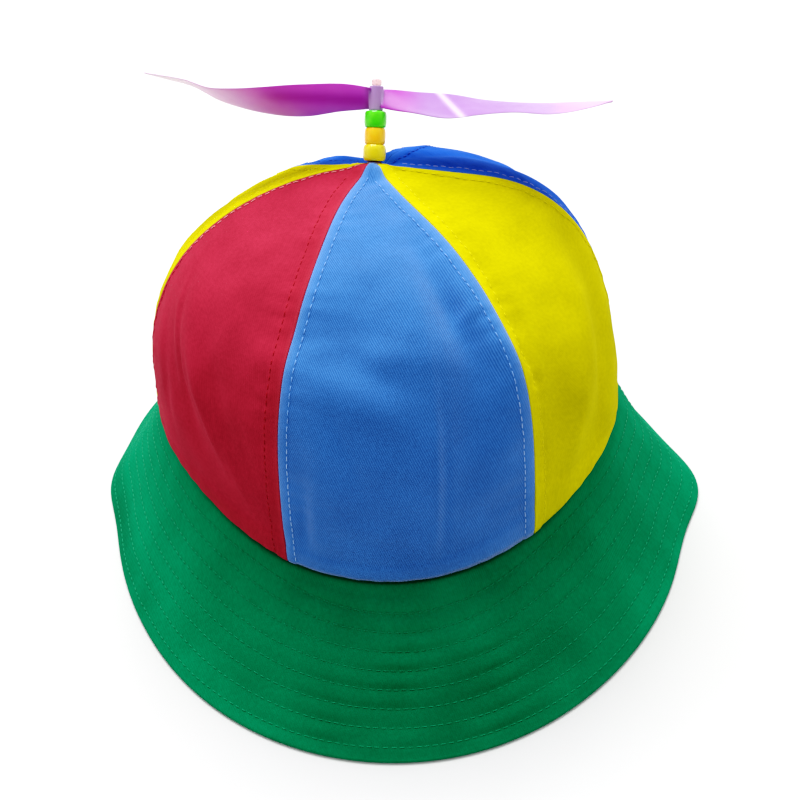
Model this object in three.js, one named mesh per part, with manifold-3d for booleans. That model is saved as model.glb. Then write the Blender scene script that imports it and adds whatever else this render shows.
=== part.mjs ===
// A propeller beanie: a cap of six coloured cloth panels with a sewn cloth brim all round,
// and on top a thin leaning post that carries three beads and a two-bladed plastic propeller.
// Millimetres, +Z up. The brim's edge rests on z = 0 and the front of the cap faces -Y.
// Azimuths are degrees seen from above, 0 at the front and growing towards +X.
import * as THREE from 'three'
import { mergeVertices } from 'three/addons/utils/BufferGeometryUtils.js'
import Module from 'manifold-3d'

// Brim: an oval on the table, and its cloth
const BRIM_HALF_WIDTH = 119
const BRIM_HALF_LENGTH = 143.6
const BRIM_WALL = 2.5
const BRIM_SAG = 2.4

// Seam between crown and brim: nearly round, highest at the sides
const HEAD_HALF_WIDTH = 90
const HEAD_HALF_LENGTH = 88
const HEAD_OVAL_POWER = 2.05
const SEAM_HEIGHT = 57
const SEAM_TUCK = 0.8

// Crown: height of its peak above the table, where the peak lies, and its cloth
const CROWN_HEIGHT = 144
const PEAK_RIGHT = 1
const PEAK_BACK = 19
const PEAK_RADIUS = 7.5
const CROWN_WALL = 1.8
const FOLD_DEPTH = 2

// Post, which leans back and a little to the right
const POST_LEAN_BACK = 32
const POST_LEAN_RIGHT = 7
const POST_RADIUS = 1.2
const POST_FOOT_RADIUS = 3
const POST_FOOT_THICKNESS = 1.2
const POST_HEAD_RADIUS = 1.85
const POST_HEAD_HEIGHT = 2.2

// Washer and beads, threaded on the post
const WASHER_RADIUS = 2.85
const WASHER_THICKNESS = 1.1
const BEAD_RADIUS = 4.1
const BEAD_HEIGHT = 5.85
const BEAD_FLAT_RADIUS = 2.9

// Propeller
const HUB_RADIUS = 2.65
const HUB_HEIGHT = 9
const BLADE_LENGTH = 87.5
const BLADE_CHORD = 23
const BLADE_THICKNESS = 1.3
const PROPELLER_TURN = -9

// Gaps between pieces
const SEAM_GAP = 0.34
const STACK_GAP = 0.3
const BORE_CLEARANCE = 0.3
const FOOT_GAP = 0.9

// Facets
const PANEL_COLUMNS = 12
const PANEL_ROWS = 14
const BRIM_COLUMNS = 72
const BRIM_ROWS = 5
const ROUND_SIDES = 12
const BEAD_BELLY_STEPS = 6

// Powers that crowd a panel's rows towards the seam and towards the peak
const ROW_START = 1.7
const ROW_END = 1.9

// The seams wind a few degrees round the peak over the last share of their way up. The one
// behind the left shoulder winds the other way, and further.
const PEAK_TWIST = -9.8
const TWIST_SHARE = 0.28
const LEFT_REAR_SEAM = { azimuth: -150, twist: 34, share: 0.42 }

// Step over which slopes on the crown are measured, and the shares of the way up over which
// folds fade in above the brim and out below the peak
const SLOPE_STEP = 0.02
const FOLD_FADE_LOW = 0.06
const FOLD_FADE_HIGH = 0.25

// Power that makes a bead's belly fuller than a round one
const BEAD_BELLY_POWER = 0.7

// The shape round the cap, one row for each 30 degrees. Reaches are shares of the oval's own
// size, seamHeight of SEAM_HEIGHT. lean and rise are the powers of the crown's profile:
// a smaller rise gives a steeper wall, and a smaller lean a fuller shoulder.
const AROUND = [
  { azimuth: -180, brimReach: 0.945, seamReach: 1, seamHeight: 0.74, lean: 1.39, rise: 1.06 },
  { azimuth: -150, brimReach: 0.946, seamReach: 1, seamHeight: 0.8, lean: 1.27, rise: 0.76 },
  { azimuth: -120, brimReach: 0.998, seamReach: 1, seamHeight: 0.92, lean: 1.05, rise: 0.72 },
  { azimuth: -90, brimReach: 0.981, seamReach: 1.01, seamHeight: 1, lean: 0.74, rise: 0.72 },
  { azimuth: -60, brimReach: 0.988, seamReach: 0.99, seamHeight: 0.92, lean: 0.8, rise: 0.63 },
  { azimuth: -30, brimReach: 1.008, seamReach: 1, seamHeight: 0.67, lean: 0.89, rise: 0.51 },
  { azimuth: 0, brimReach: 1.009, seamReach: 1, seamHeight: 0.565, lean: 1, rise: 0.51 },
  { azimuth: 30, brimReach: 0.996, seamReach: 1, seamHeight: 0.665, lean: 1.06, rise: 0.43 },
  { azimuth: 60, brimReach: 1, seamReach: 1.02, seamHeight: 0.93, lean: 0.98, rise: 0.76 },
  { azimuth: 90, brimReach: 0.996, seamReach: 1.005, seamHeight: 0.94, lean: 0.61, rise: 0.83 },
  { azimuth: 120, brimReach: 0.933, seamReach: 1, seamHeight: 0.9, lean: 0.89, rise: 0.65 },
  { azimuth: 150, brimReach: 0.929, seamReach: 1, seamHeight: 0.8, lean: 1, rise: 0.84 },
]

// Blunt corners of the brim's outline, from a cap that was kept folded flat: what each adds to
// the reach, and half its width in degrees
const BRIM_CORNERS = [
  { azimuth: -98, reach: 0.035, width: 9.3 },
  { azimuth: 81.4, reach: 0.067, width: 10.4 },
]

// Main folds of the crown: where each lies (up is the share of the way from seam to peak),
// its length and width as shares of the crown's height, its slant from upright in degrees,
// and its depth as a share of FOLD_DEPTH, negative for a dent.
const FOLDS = [
  { azimuth: 6, up: 0.49, length: 0.13, width: 0.08, slant: 31, depth: 0.8 },
  { azimuth: 19.5, up: 0.45, length: 0.15, width: 0.055, slant: 15, depth: -0.9 },
  { azimuth: -17, up: 0.475, length: 0.17, width: 0.05, slant: 90, depth: -0.8 },
  { azimuth: -14, up: 0.355, length: 0.16, width: 0.045, slant: 75, depth: 0.6 },
  { azimuth: -5, up: 0.41, length: 0.16, width: 0.045, slant: 75, depth: -0.5 },
  { azimuth: 18, up: 0.28, length: 0.16, width: 0.06, slant: 0, depth: -0.7 },
  { azimuth: 7, up: 0.18, length: 0.2, width: 0.04, slant: -5, depth: 0.5 },
  { azimuth: -19, up: 0.2, length: 0.12, width: 0.06, slant: 10, depth: 0.6 },
  { azimuth: 29, up: 0.345, length: 0.08, width: 0.05, slant: 0, depth: 0.6 },
  { azimuth: 37, up: 0.42, length: 0.1, width: 0.045, slant: 0, depth: -0.8 },
  { azimuth: 41, up: 0.22, length: 0.2, width: 0.045, slant: -12, depth: -0.5 },
  { azimuth: 54, up: 0.3, length: 0.32, width: 0.05, slant: -38, depth: 0.8 },
  { azimuth: 65, up: 0.28, length: 0.3, width: 0.05, slant: -38, depth: -0.7 },
  { azimuth: -40, up: 0.2, length: 0.22, width: 0.045, slant: 36, depth: 0.5 },
  { azimuth: -47, up: 0.27, length: 0.2, width: 0.045, slant: 40, depth: -0.7 },
  { azimuth: -55, up: 0.28, length: 0.18, width: 0.045, slant: 42, depth: 0.7 },
  { azimuth: -63, up: 0.24, length: 0.2, width: 0.05, slant: 50, depth: -0.7 },
  { azimuth: -110, up: 0.34, length: 0.32, width: 0.06, slant: 10, depth: -0.7 },
  { azimuth: -135, up: 0.26, length: 0.24, width: 0.06, slant: -28, depth: 0.6 },
  { azimuth: -160, up: 0.36, length: 0.3, width: 0.06, slant: -20, depth: 0.7 },
  { azimuth: 112, up: 0.34, length: 0.32, width: 0.06, slant: -12, depth: -0.8 },
  { azimuth: 135, up: 0.25, length: 0.22, width: 0.06, slant: 30, depth: 0.6 },
  { azimuth: 165, up: 0.36, length: 0.28, width: 0.07, slant: 25, depth: -0.9 },
]

// Panels from seam to seam
const PANELS = [
  { name: 'panel_front', from: -30, to: 31.5, colour: 0x4687d7 },
  { name: 'panel_right_front', from: 31.5, to: 92, colour: 0xf0e000 },
  { name: 'panel_right_rear', from: 92, to: 150, colour: 0x1e50c8 },
  { name: 'panel_rear', from: 150, to: 210, colour: 0x1e50c8 },
  { name: 'panel_left_rear', from: -150, to: -89.2, colour: 0xf0e000 },
  { name: 'panel_left_front', from: -89.2, to: -30, colour: 0xbe203e },
]

// Blade sections: at and rise are shares of the blade's length, chord of its full chord, and
// pitch is in degrees. Both blades are soft plastic and warped a little, each in its own way.
const RIGHT_BLADE = [
  { at: 0.022, chord: 0.38, pitch: 56, rise: 0 },
  { at: 0.14, chord: 0.6, pitch: 39, rise: -0.01 },
  { at: 0.3, chord: 0.8, pitch: 34, rise: -0.023 },
  { at: 0.44, chord: 0.95, pitch: 20, rise: -0.023 },
  { at: 0.58, chord: 1, pitch: 14, rise: -0.02 },
  { at: 0.75, chord: 0.9, pitch: 16, rise: -0.02 },
  { at: 0.87, chord: 0.68, pitch: 15, rise: -0.005 },
  { at: 0.95, chord: 0.4, pitch: 12, rise: 0.008 },
  { at: 1, chord: 0.12, pitch: 8, rise: 0.016 },
]
const LEFT_BLADE = [
  { at: 0.022, chord: 0.38, pitch: 56, rise: 0 },
  { at: 0.14, chord: 0.6, pitch: 42, rise: 0 },
  { at: 0.3, chord: 0.8, pitch: 35, rise: -0.017 },
  { at: 0.48, chord: 0.98, pitch: 21, rise: -0.023 },
  { at: 0.6, chord: 1, pitch: 13, rise: -0.016 },
  { at: 0.7, chord: 0.95, pitch: 7, rise: 0 },
  { at: 0.8, chord: 0.8, pitch: 3, rise: 0.04 },
  { at: 0.92, chord: 0.5, pitch: 1, rise: 0.065 },
  { at: 1, chord: 0.12, pitch: 0, rise: 0.08 },
]

const wasm = await Module()
wasm.setup()

const radians = THREE.MathUtils.degToRad

// Smooth value of one column of AROUND at any azimuth, by a closed Catmull-Rom curve
function around(column, azimuth) {
  const count = AROUND.length
  const place = ((azimuth - AROUND[0].azimuth) / 360) * count
  const row = Math.floor(place)
  const share = place - row
  const value = (step) => AROUND[(((row + step) % count) + count) % count][column]
  const [a, b, c, d] = [value(-1), value(0), value(1), value(2)]
  return b + 0.5 * share * (c - a + share * (2 * a - 5 * b + 4 * c - d + share * (3 * (b - c) + d - a)))
}

// Radius of an oval at an azimuth
function ovalRadius(azimuth, halfWidth, halfLength, power) {
  const across = Math.abs(Math.sin(radians(azimuth)) / halfWidth) ** power
  const along = Math.abs(Math.cos(radians(azimuth)) / halfLength) ** power
  return (across + along) ** (-1 / power)
}

// Unit vector that points outwards at an azimuth
function outwards(azimuth) {
  return new THREE.Vector3(Math.sin(radians(azimuth)), -Math.cos(radians(azimuth)), 0)
}

// Point on the seam line where crown and brim meet
function seamPoint(azimuth) {
  const oval = ovalRadius(azimuth, HEAD_HALF_WIDTH, HEAD_HALF_LENGTH, HEAD_OVAL_POWER)
  const point = outwards(azimuth).multiplyScalar(oval * around('seamReach', azimuth))
  point.z = SEAM_HEIGHT * around('seamHeight', azimuth)
  return point
}

// Turn from one azimuth to another, between -180 and 180 degrees
function turnBetween(from, to) {
  const turn = to - from
  return turn - 360 * Math.round(turn / 360)
}

// Point on the brim's outer edge, on the table
function brimEdgePoint(azimuth) {
  let reach = around('brimReach', azimuth)
  for (const corner of BRIM_CORNERS) {
    reach += corner.reach * Math.exp(-((turnBetween(corner.azimuth, azimuth) / corner.width) ** 2))
  }
  return outwards(azimuth).multiplyScalar(reach * ovalRadius(azimuth, BRIM_HALF_WIDTH, BRIM_HALF_LENGTH, 2))
}

const peak = new THREE.Vector3(PEAK_RIGHT, PEAK_BACK, CROWN_HEIGHT)

const postDirection = new THREE.Vector3(
  Math.sin(radians(POST_LEAN_RIGHT)),
  Math.sin(radians(POST_LEAN_BACK)) * Math.cos(radians(POST_LEAN_RIGHT)),
  Math.cos(radians(POST_LEAN_BACK)) * Math.cos(radians(POST_LEAN_RIGHT)),
)

const postHoleRadius = POST_RADIUS + BORE_CLEARANCE

// Height added by all folds at one place on the crown
function foldHeight(azimuth, up) {
  let height = 0
  for (const fold of FOLDS) {
    const beside = radians(turnBetween(fold.azimuth, azimuth)) * HEAD_HALF_WIDTH
    const above = (up - fold.up) * CROWN_HEIGHT
    const slant = radians(fold.slant)
    const across = beside * Math.cos(slant) + above * Math.sin(slant)
    const along = above * Math.cos(slant) - beside * Math.sin(slant)
    const wide = across / (fold.width * CROWN_HEIGHT)
    const long = along / (fold.length * CROWN_HEIGHT)
    height += fold.depth * FOLD_DEPTH * Math.exp(-wide * wide - long * long)
  }
  return height
}

// 1 close to the peak, where the cloth lies square to the post, and 0 a little way from it
function nearPeak(point) {
  return Math.exp(-((Math.hypot(point.x - peak.x, point.y - peak.y) / PEAK_RADIUS) ** 4))
}

// Crown's outer surface without folds and before its peak is tilted. up goes from 0 at the seam
// to 1 at the rim of the post's hole.
function levelCrownPoint(azimuth, up) {
  const angle = ((1 - (1 - up ** ROW_START) ** ROW_END) * Math.PI) / 2
  const reach = Math.max(Math.cos(angle), 0) ** around('lean', azimuth)
  const climb = Math.sin(angle) ** around('rise', azimuth)
  const seam = seamPoint(azimuth)
  const hole = outwards(azimuth).multiplyScalar(postHoleRadius).add(peak)
  return new THREE.Vector3(
    hole.x + (seam.x - hole.x) * reach,
    hole.y + (seam.y - hole.y) * reach,
    seam.z + (peak.z - seam.z) * climb,
  )
}

// Crown's outer surface without folds, tilted at the peak to lie square to the post
function smoothCrownPoint(azimuth, up) {
  const point = levelCrownPoint(azimuth, up)
  const slope = postDirection.x * (point.x - peak.x) + postDirection.y * (point.y - peak.y)
  point.z -= (slope / postDirection.z) * nearPeak(point)
  return point
}

// Outward direction across the crown's cloth
function crownNormal(azimuth, up) {
  const low = levelCrownPoint(azimuth, Math.max(up - SLOPE_STEP, 0))
  const high = levelCrownPoint(azimuth, Math.min(up + SLOPE_STEP, 1))
  const left = levelCrownPoint(azimuth - 1, up)
  const right = levelCrownPoint(azimuth + 1, up)
  const share = nearPeak(levelCrownPoint(azimuth, up))
  return right.sub(left).cross(high.sub(low)).normalize().lerp(postDirection, share).normalize()
}

// Point on the crown at a depth below its outer surface
function crownPoint(azimuth, up, depth) {
  const fade = Math.min(up / FOLD_FADE_LOW, (1 - up) / FOLD_FADE_HIGH, 1)
  const height = foldHeight(azimuth, up) * fade - depth
  return smoothCrownPoint(azimuth, up).addScaledVector(crownNormal(azimuth, up), height)
}

// Closed body from a list of rings of points, all of one length. Each ring is closed, and the
// first and last rings are either joined to each other or capped.
function loftRings(rings, joinEnds) {
  const count = rings[0].length
  const positions = rings.flat().flatMap((point) => [point.x, point.y, point.z])
  const index = []
  const bands = joinEnds ? rings.length : rings.length - 1
  for (let i = 0; i < bands; i += 1) {
    const next = (i + 1) % rings.length
    for (let j = 0; j < count; j += 1) {
      const beside = (j + 1) % count
      const [a, b, c, d] = [i * count + j, i * count + beside, next * count + beside, next * count + j]
      index.push(a, b, c, a, c, d)
    }
  }
  if (!joinEnds) {
    const last = (rings.length - 1) * count
    for (let j = 1; j < count - 1; j += 1) {
      index.push(0, j + 1, j, last, last + j, last + j + 1)
    }
  }
  const geometry = new THREE.BufferGeometry()
  geometry.setAttribute('position', new THREE.Float32BufferAttribute(positions, 3))
  geometry.setIndex(index)
  geometry.computeVertexNormals()
  return geometry
}

// Closed cloth wall from a grid of outer points and a grid of inner points
function clothWall(outer, inner) {
  const rows = outer.length
  const columns = outer[0].length
  const positions = [...outer.flat(), ...inner.flat()].flatMap((point) => [point.x, point.y, point.z])
  const at = (side, row, column) => (side * rows + row) * columns + column
  const index = []
  const quad = (a, b, c, d) => index.push(a, b, c, a, c, d)
  for (let i = 0; i < rows - 1; i += 1) {
    for (let j = 0; j < columns - 1; j += 1) {
      quad(at(0, i, j), at(0, i, j + 1), at(0, i + 1, j + 1), at(0, i + 1, j))
      quad(at(1, i, j), at(1, i + 1, j), at(1, i + 1, j + 1), at(1, i, j + 1))
    }
    const end = columns - 1
    quad(at(0, i, 0), at(0, i + 1, 0), at(1, i + 1, 0), at(1, i, 0))
    quad(at(0, i, end), at(1, i, end), at(1, i + 1, end), at(0, i + 1, end))
  }
  const top = rows - 1
  for (let j = 0; j < columns - 1; j += 1) {
    quad(at(0, 0, j + 1), at(0, 0, j), at(1, 0, j), at(1, 0, j + 1))
    quad(at(0, top, j), at(0, top, j + 1), at(1, top, j + 1), at(1, top, j))
  }
  const geometry = new THREE.BufferGeometry()
  geometry.setAttribute('position', new THREE.Float32BufferAttribute(positions, 3))
  geometry.setIndex(index)
  geometry.computeVertexNormals()
  return geometry
}

// Unit vector square to a seam on the crown, towards growing azimuth
function acrossSeam(azimuth, up) {
  const low = smoothCrownPoint(azimuth, Math.max(up - SLOPE_STEP, 0))
  const high = smoothCrownPoint(azimuth, Math.min(up + SLOPE_STEP, 1))
  return high.sub(low).cross(crownNormal(azimuth, up)).normalize()
}

// Azimuth of a seam at a share of the way up, as it winds round the peak
function seamAzimuth(azimuth, up) {
  const leftRear = Math.abs(turnBetween(azimuth, LEFT_REAR_SEAM.azimuth)) < 1
  const twist = leftRear ? LEFT_REAR_SEAM.twist : PEAK_TWIST
  const share = leftRear ? LEFT_REAR_SEAM.share : TWIST_SHARE
  return azimuth + twist * Math.exp(-(((1 - up) / share) ** 3))
}

// One panel of the crown, half a seam gap short of its neighbours and a gap above the brim
function panelGeometry(panel) {
  const lift = new THREE.Vector3(0, 0, SEAM_GAP)
  const half = SEAM_GAP / 2
  const panelRow = (up, depth) => {
    const from = seamAzimuth(panel.from, up)
    const to = seamAzimuth(panel.to, up)
    const middle = smoothCrownPoint((from + to) / 2, up)
    const radius = Math.hypot(middle.x - peak.x, middle.y - peak.y)
    const trim = THREE.MathUtils.radToDeg(half / Math.max(radius, postHoleRadius))
    const row = [crownPoint(from, up, depth).addScaledVector(acrossSeam(from, up), half)]
    for (let j = 1; j < PANEL_COLUMNS; j += 1) {
      const azimuth = THREE.MathUtils.lerp(from + trim, to - trim, j / PANEL_COLUMNS)
      row.push(crownPoint(azimuth, up, depth))
    }
    row.push(crownPoint(to, up, depth).addScaledVector(acrossSeam(to, up), -half))
    return row.map((point) => point.add(lift))
  }
  const grid = (depth) => {
    const rows = []
    for (let i = 0; i <= PANEL_ROWS; i += 1) {
      rows.push(panelRow(i / PANEL_ROWS, depth))
    }
    return rows
  }
  return clothWall(grid(0), grid(CROWN_WALL))
}

// Points across the brim's section at one azimuth: down its outer face, then up its inner face
function brimSection(azimuth) {
  const out = outwards(azimuth)
  const top = seamPoint(azimuth).addScaledVector(out, -SEAM_TUCK)
  const edge = brimEdgePoint(azimuth)
  const fall = Math.atan2(top.z, Math.hypot(edge.x - top.x, edge.y - top.y))
  const inset = BRIM_WALL / Math.sin(fall)
  const face = (shift) => {
    const points = []
    for (let i = 0; i <= BRIM_ROWS; i += 1) {
      const down = i / BRIM_ROWS
      const sag = BRIM_SAG * Math.sin(Math.PI * down)
      const point = top.clone().lerp(edge, down)
      point.addScaledVector(out, -sag * Math.sin(fall) - shift)
      point.z -= sag * Math.cos(fall)
      points.push(point)
    }
    return points
  }
  return [...face(0), ...face(inset).reverse()]
}

function brimGeometry() {
  const sections = []
  for (let i = 0; i < BRIM_COLUMNS; i += 1) {
    sections.push(brimSection((i / BRIM_COLUMNS) * 360))
  }
  return loftRings(sections, true)
}

// Piece turned on the post's axis from a closed outline of radius and height
function turned(outline) {
  const points = outline.map(([radius, height]) => new THREE.Vector2(radius, height))
  return new THREE.LatheGeometry([...points, points[0].clone()], ROUND_SIDES)
}

const washerBase = STACK_GAP
const beadBase = (place) => washerBase + WASHER_THICKNESS + STACK_GAP + place * (BEAD_HEIGHT + STACK_GAP)
const hubBase = beadBase(3)

function washerGeometry() {
  return turned([
    [postHoleRadius, washerBase],
    [WASHER_RADIUS, washerBase],
    [WASHER_RADIUS, washerBase + WASHER_THICKNESS],
    [postHoleRadius, washerBase + WASHER_THICKNESS],
  ])
}

// Barrel bead with small flat ends and a round belly
function beadGeometry(base) {
  const outline = [[postHoleRadius, base]]
  for (let i = 0; i <= BEAD_BELLY_STEPS; i += 1) {
    const angle = (i / BEAD_BELLY_STEPS) * Math.PI
    const belly = Math.sin(angle) ** BEAD_BELLY_POWER
    const radius = BEAD_FLAT_RADIUS + (BEAD_RADIUS - BEAD_FLAT_RADIUS) * belly
    outline.push([radius, base + (BEAD_HEIGHT * (1 - Math.cos(angle))) / 2])
  }
  outline.push([postHoleRadius, base + BEAD_HEIGHT])
  return turned(outline)
}

// Rod with a foot plate under the cloth and a small head above the propeller
function postGeometry() {
  const footTop = -CROWN_WALL - FOOT_GAP
  const headBase = hubBase + HUB_HEIGHT + STACK_GAP
  const outline = [
    [0, footTop - POST_FOOT_THICKNESS],
    [POST_FOOT_RADIUS, footTop - POST_FOOT_THICKNESS],
    [POST_FOOT_RADIUS, footTop],
    [POST_RADIUS, footTop],
    [POST_RADIUS, headBase],
    [POST_HEAD_RADIUS, headBase],
    [POST_HEAD_RADIUS * 0.92, headBase + POST_HEAD_HEIGHT * 0.8],
    [POST_HEAD_RADIUS * 0.6, headBase + POST_HEAD_HEIGHT],
    [0, headBase + POST_HEAD_HEIGHT],
  ]
  const points = outline.map(([radius, height]) => new THREE.Vector2(radius, height))
  return new THREE.LatheGeometry(points, ROUND_SIDES)
}

// Thin plastic blade along +X, lofted through flat eight-sided sections
function bladeGeometry(stations) {
  const upper = [[-1, 0], [-0.6, 0.5], [0, 0.62], [0.6, 0.5]]
  const lower = [[1, 0], [0.6, -0.38], [0, -0.5], [-0.6, -0.38]]
  const profile = [...upper, ...lower]
  const rings = stations.map((station) => {
    const pitch = radians(station.pitch)
    const half = (station.chord * BLADE_CHORD) / 2
    return profile.map(([across, through]) => {
      const y = across * half
      const z = through * BLADE_THICKNESS
      return new THREE.Vector3(
        station.at * BLADE_LENGTH,
        y * Math.cos(pitch) - z * Math.sin(pitch),
        y * Math.sin(pitch) + z * Math.cos(pitch) + station.rise * BLADE_LENGTH,
      )
    })
  })
  return loftRings(rings.map((ring) => ring.reverse()), false)
}

// Solid for joining and cutting, from a closed geometry
function solid(geometry) {
  const bare = geometry.clone()
  bare.deleteAttribute('normal')
  bare.deleteAttribute('uv')
  const merged = mergeVertices(bare, 1e-4)
  const vertProperties = new Float32Array(merged.attributes.position.array)
  const triVerts = new Uint32Array(merged.index.array)
  return new wasm.Manifold(new wasm.Mesh({ numProp: 3, vertProperties, triVerts }))
}

// Geometry from a joined solid
function fromSolid(body) {
  const mesh = body.getMesh()
  const geometry = new THREE.BufferGeometry()
  geometry.setAttribute('position', new THREE.Float32BufferAttribute(mesh.vertProperties, 3))
  geometry.setIndex(Array.from(mesh.triVerts))
  geometry.computeVertexNormals()
  return geometry
}

// Hub tube with both blades, bored for the post
function propellerGeometry() {
  const upright = (radius, height, middle) => {
    const rod = new THREE.CylinderGeometry(radius, radius, height, ROUND_SIDES)
    return rod.rotateX(Math.PI / 2).translate(0, 0, middle)
  }
  const middle = hubBase + HUB_HEIGHT / 2
  const right = bladeGeometry(RIGHT_BLADE).translate(0, 0, middle)
  const left = bladeGeometry(LEFT_BLADE).rotateZ(Math.PI).translate(0, 0, middle)
  const hub = solid(upright(HUB_RADIUS, HUB_HEIGHT, middle))
  const bore = solid(upright(postHoleRadius, HUB_HEIGHT * 2, middle))
  return fromSolid(hub.add(solid(right)).add(solid(left)).subtract(bore))
}

function piece(name, geometry, colour, roughness) {
  const material = new THREE.MeshStandardMaterial({ color: colour, roughness, metalness: 0 })
  const mesh = new THREE.Mesh(geometry, material)
  mesh.name = name
  return mesh
}

// Everything threaded on the post, in the post's own frame with the cloth's peak at its origin
function buildStack() {
  const stack = new THREE.Group()
  const upright = (geometry) => geometry.rotateX(Math.PI / 2)
  stack.add(piece('post', upright(postGeometry()), 0xf0b4b4, 0.4))
  stack.add(piece('washer', upright(washerGeometry()), 0x5a1420, 0.6))
  stack.add(piece('bead_yellow', upright(beadGeometry(beadBase(0))), 0xe1d732, 0.3))
  stack.add(piece('bead_orange', upright(beadGeometry(beadBase(1))), 0xffb41e, 0.3))
  stack.add(piece('bead_green', upright(beadGeometry(beadBase(2))), 0x3cc814, 0.3))
  const propeller = piece('propeller', propellerGeometry(), 0xb45ad2, 0.25)
  propeller.rotation.z = radians(PROPELLER_TURN)
  stack.add(propeller)
  stack.position.copy(peak)
  stack.position.z += SEAM_GAP
  stack.quaternion.setFromUnitVectors(new THREE.Vector3(0, 0, 1), postDirection)
  return stack
}

// The whole cap, with its origin under the middle of the brim's outline
function buildBeanie() {
  const beanie = new THREE.Group()
  for (const panel of PANELS) {
    beanie.add(piece(panel.name, panelGeometry(panel), panel.colour, 0.9))
  }
  beanie.add(piece('brim', brimGeometry(), 0x008250, 0.9))
  beanie.add(buildStack())
  const outline = new THREE.Box3()
  for (let i = 0; i < BRIM_COLUMNS; i += 1) {
    outline.expandByPoint(brimEdgePoint((i / BRIM_COLUMNS) * 360))
  }
  const middle = outline.getCenter(new THREE.Vector3())
  beanie.position.set(-middle.x, -middle.y, 0)
  return beanie
}

const group = new THREE.Group()
group.add(buildBeanie())
export default group
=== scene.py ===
"""Looks of a propeller beanie: six panels of cotton twill, a sewn brim all round, and on top a
leaning post with a washer, three beads and a clear violet propeller with two blades.

Metres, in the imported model's frame: +Z up and the cap's front towards -Y. Azimuths are degrees
seen from above, 0 at the front and growing towards +X. The cloth is worked out from the same
sizes and formulas as the solids that it replaces, so each piece lies where its solid does.
"""
import math

import bpy
import numpy as np
from mathutils import Matrix, Vector


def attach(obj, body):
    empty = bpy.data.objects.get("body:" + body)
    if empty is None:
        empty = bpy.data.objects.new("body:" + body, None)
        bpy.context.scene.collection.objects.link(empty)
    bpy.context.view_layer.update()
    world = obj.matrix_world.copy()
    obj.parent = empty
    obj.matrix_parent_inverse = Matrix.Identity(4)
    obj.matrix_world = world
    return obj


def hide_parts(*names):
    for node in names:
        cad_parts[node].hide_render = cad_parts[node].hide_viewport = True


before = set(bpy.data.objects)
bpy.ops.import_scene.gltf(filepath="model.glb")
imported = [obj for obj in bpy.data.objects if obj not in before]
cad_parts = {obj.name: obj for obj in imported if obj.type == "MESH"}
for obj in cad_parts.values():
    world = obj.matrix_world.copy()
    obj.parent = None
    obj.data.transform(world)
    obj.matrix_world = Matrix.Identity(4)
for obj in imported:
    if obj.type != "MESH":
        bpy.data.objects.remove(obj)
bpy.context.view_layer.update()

# Brim: an oval on the table, and its cloth
BRIM_HALF_WIDTH = 0.119
BRIM_HALF_LENGTH = 0.1436
BRIM_WALL = 0.0022
BRIM_SAG = 0.0024
BRIM_CLEARANCE = 0.00005

# Seam between crown and brim
HEAD_HALF_WIDTH = 0.090
HEAD_HALF_LENGTH = 0.088
HEAD_OVAL_POWER = 2.05
SEAM_HEIGHT = 0.057
SEAM_TUCK = 0.00085
SEAM_GAP = 0.00034
LIP_DROP = 0.0003
LIP_REACH = 0.003
FLANGE_HEIGHT = 0.0014

# Crown and its cloth, which is thinner where it overlaps the brim
CROWN_HEIGHT = 0.144
PEAK = np.array([0.001, 0.019, CROWN_HEIGHT])
PEAK_RADIUS = 0.0075
CROWN_WALL = 0.0016
LIP_WALL = 0.0007
LIP_HEIGHT = 0.004
FOLD_DEPTH = 0.003
# Shares of the way up over which folds fade in above the brim and out below the peak
FOLD_FADE_LOW = 0.06
FOLD_FADE_HIGH = 0.25
# Step over which slopes on the crown are measured
SLOPE_STEP = 0.02

# Post, washer and beads, along the post's axis from the peak
POST_LEAN_BACK = math.radians(32)
POST_LEAN_RIGHT = math.radians(7)
POST_RADIUS = 0.0012
POST_HOLE_RADIUS = 0.0015
POST_FOOT_RADIUS = 0.003
POST_FOOT_TOP = -0.0027
POST_FOOT_THICKNESS = 0.0012
POST_HEAD_RADIUS = 0.00185
POST_HEAD_HEIGHT = 0.0022
WASHER_BASE = 0.0003
WASHER_RADIUS = 0.00285
WASHER_THICKNESS = 0.0011
BEAD_BASE = 0.00156
BEAD_PITCH = 0.00615
BEAD_GAP = 0.00004
BEAD_BORE_LIP = 0.0003
# Powers that fill out a bead's belly across and along its axis
BEAD_BELLY_POWER = 0.55
BEAD_SHOULDER_POWER = 0.75
STACK_GAP = 0.0003
WASHER_PALE_RIM = 0.0004
# Radius at which the post's outline ends, so that it closes on the axis
CORE_RADIUS = 0.00005
# Rounding of the turned pieces' edges
WASHER_EDGE = 0.0003
POST_EDGE = 0.0007
HUB_EDGE = 0.00035

# Propeller
HUB_BASE = 0.02015
HUB_RADIUS = 0.00265
HUB_HEIGHT = 0.009
BLADE_LENGTH = 0.0875
BLADE_CHORD = 0.023
BLADE_THICKNESS = 0.0013
BLADE_CAMBER = 0.07
BLADE_EDGE_POWER = 0.9
BLADE_TIP_SHARE = 0.07
BLADE_THINNEST = 0.55
PROPELLER_TURN = math.radians(-9)

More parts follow.
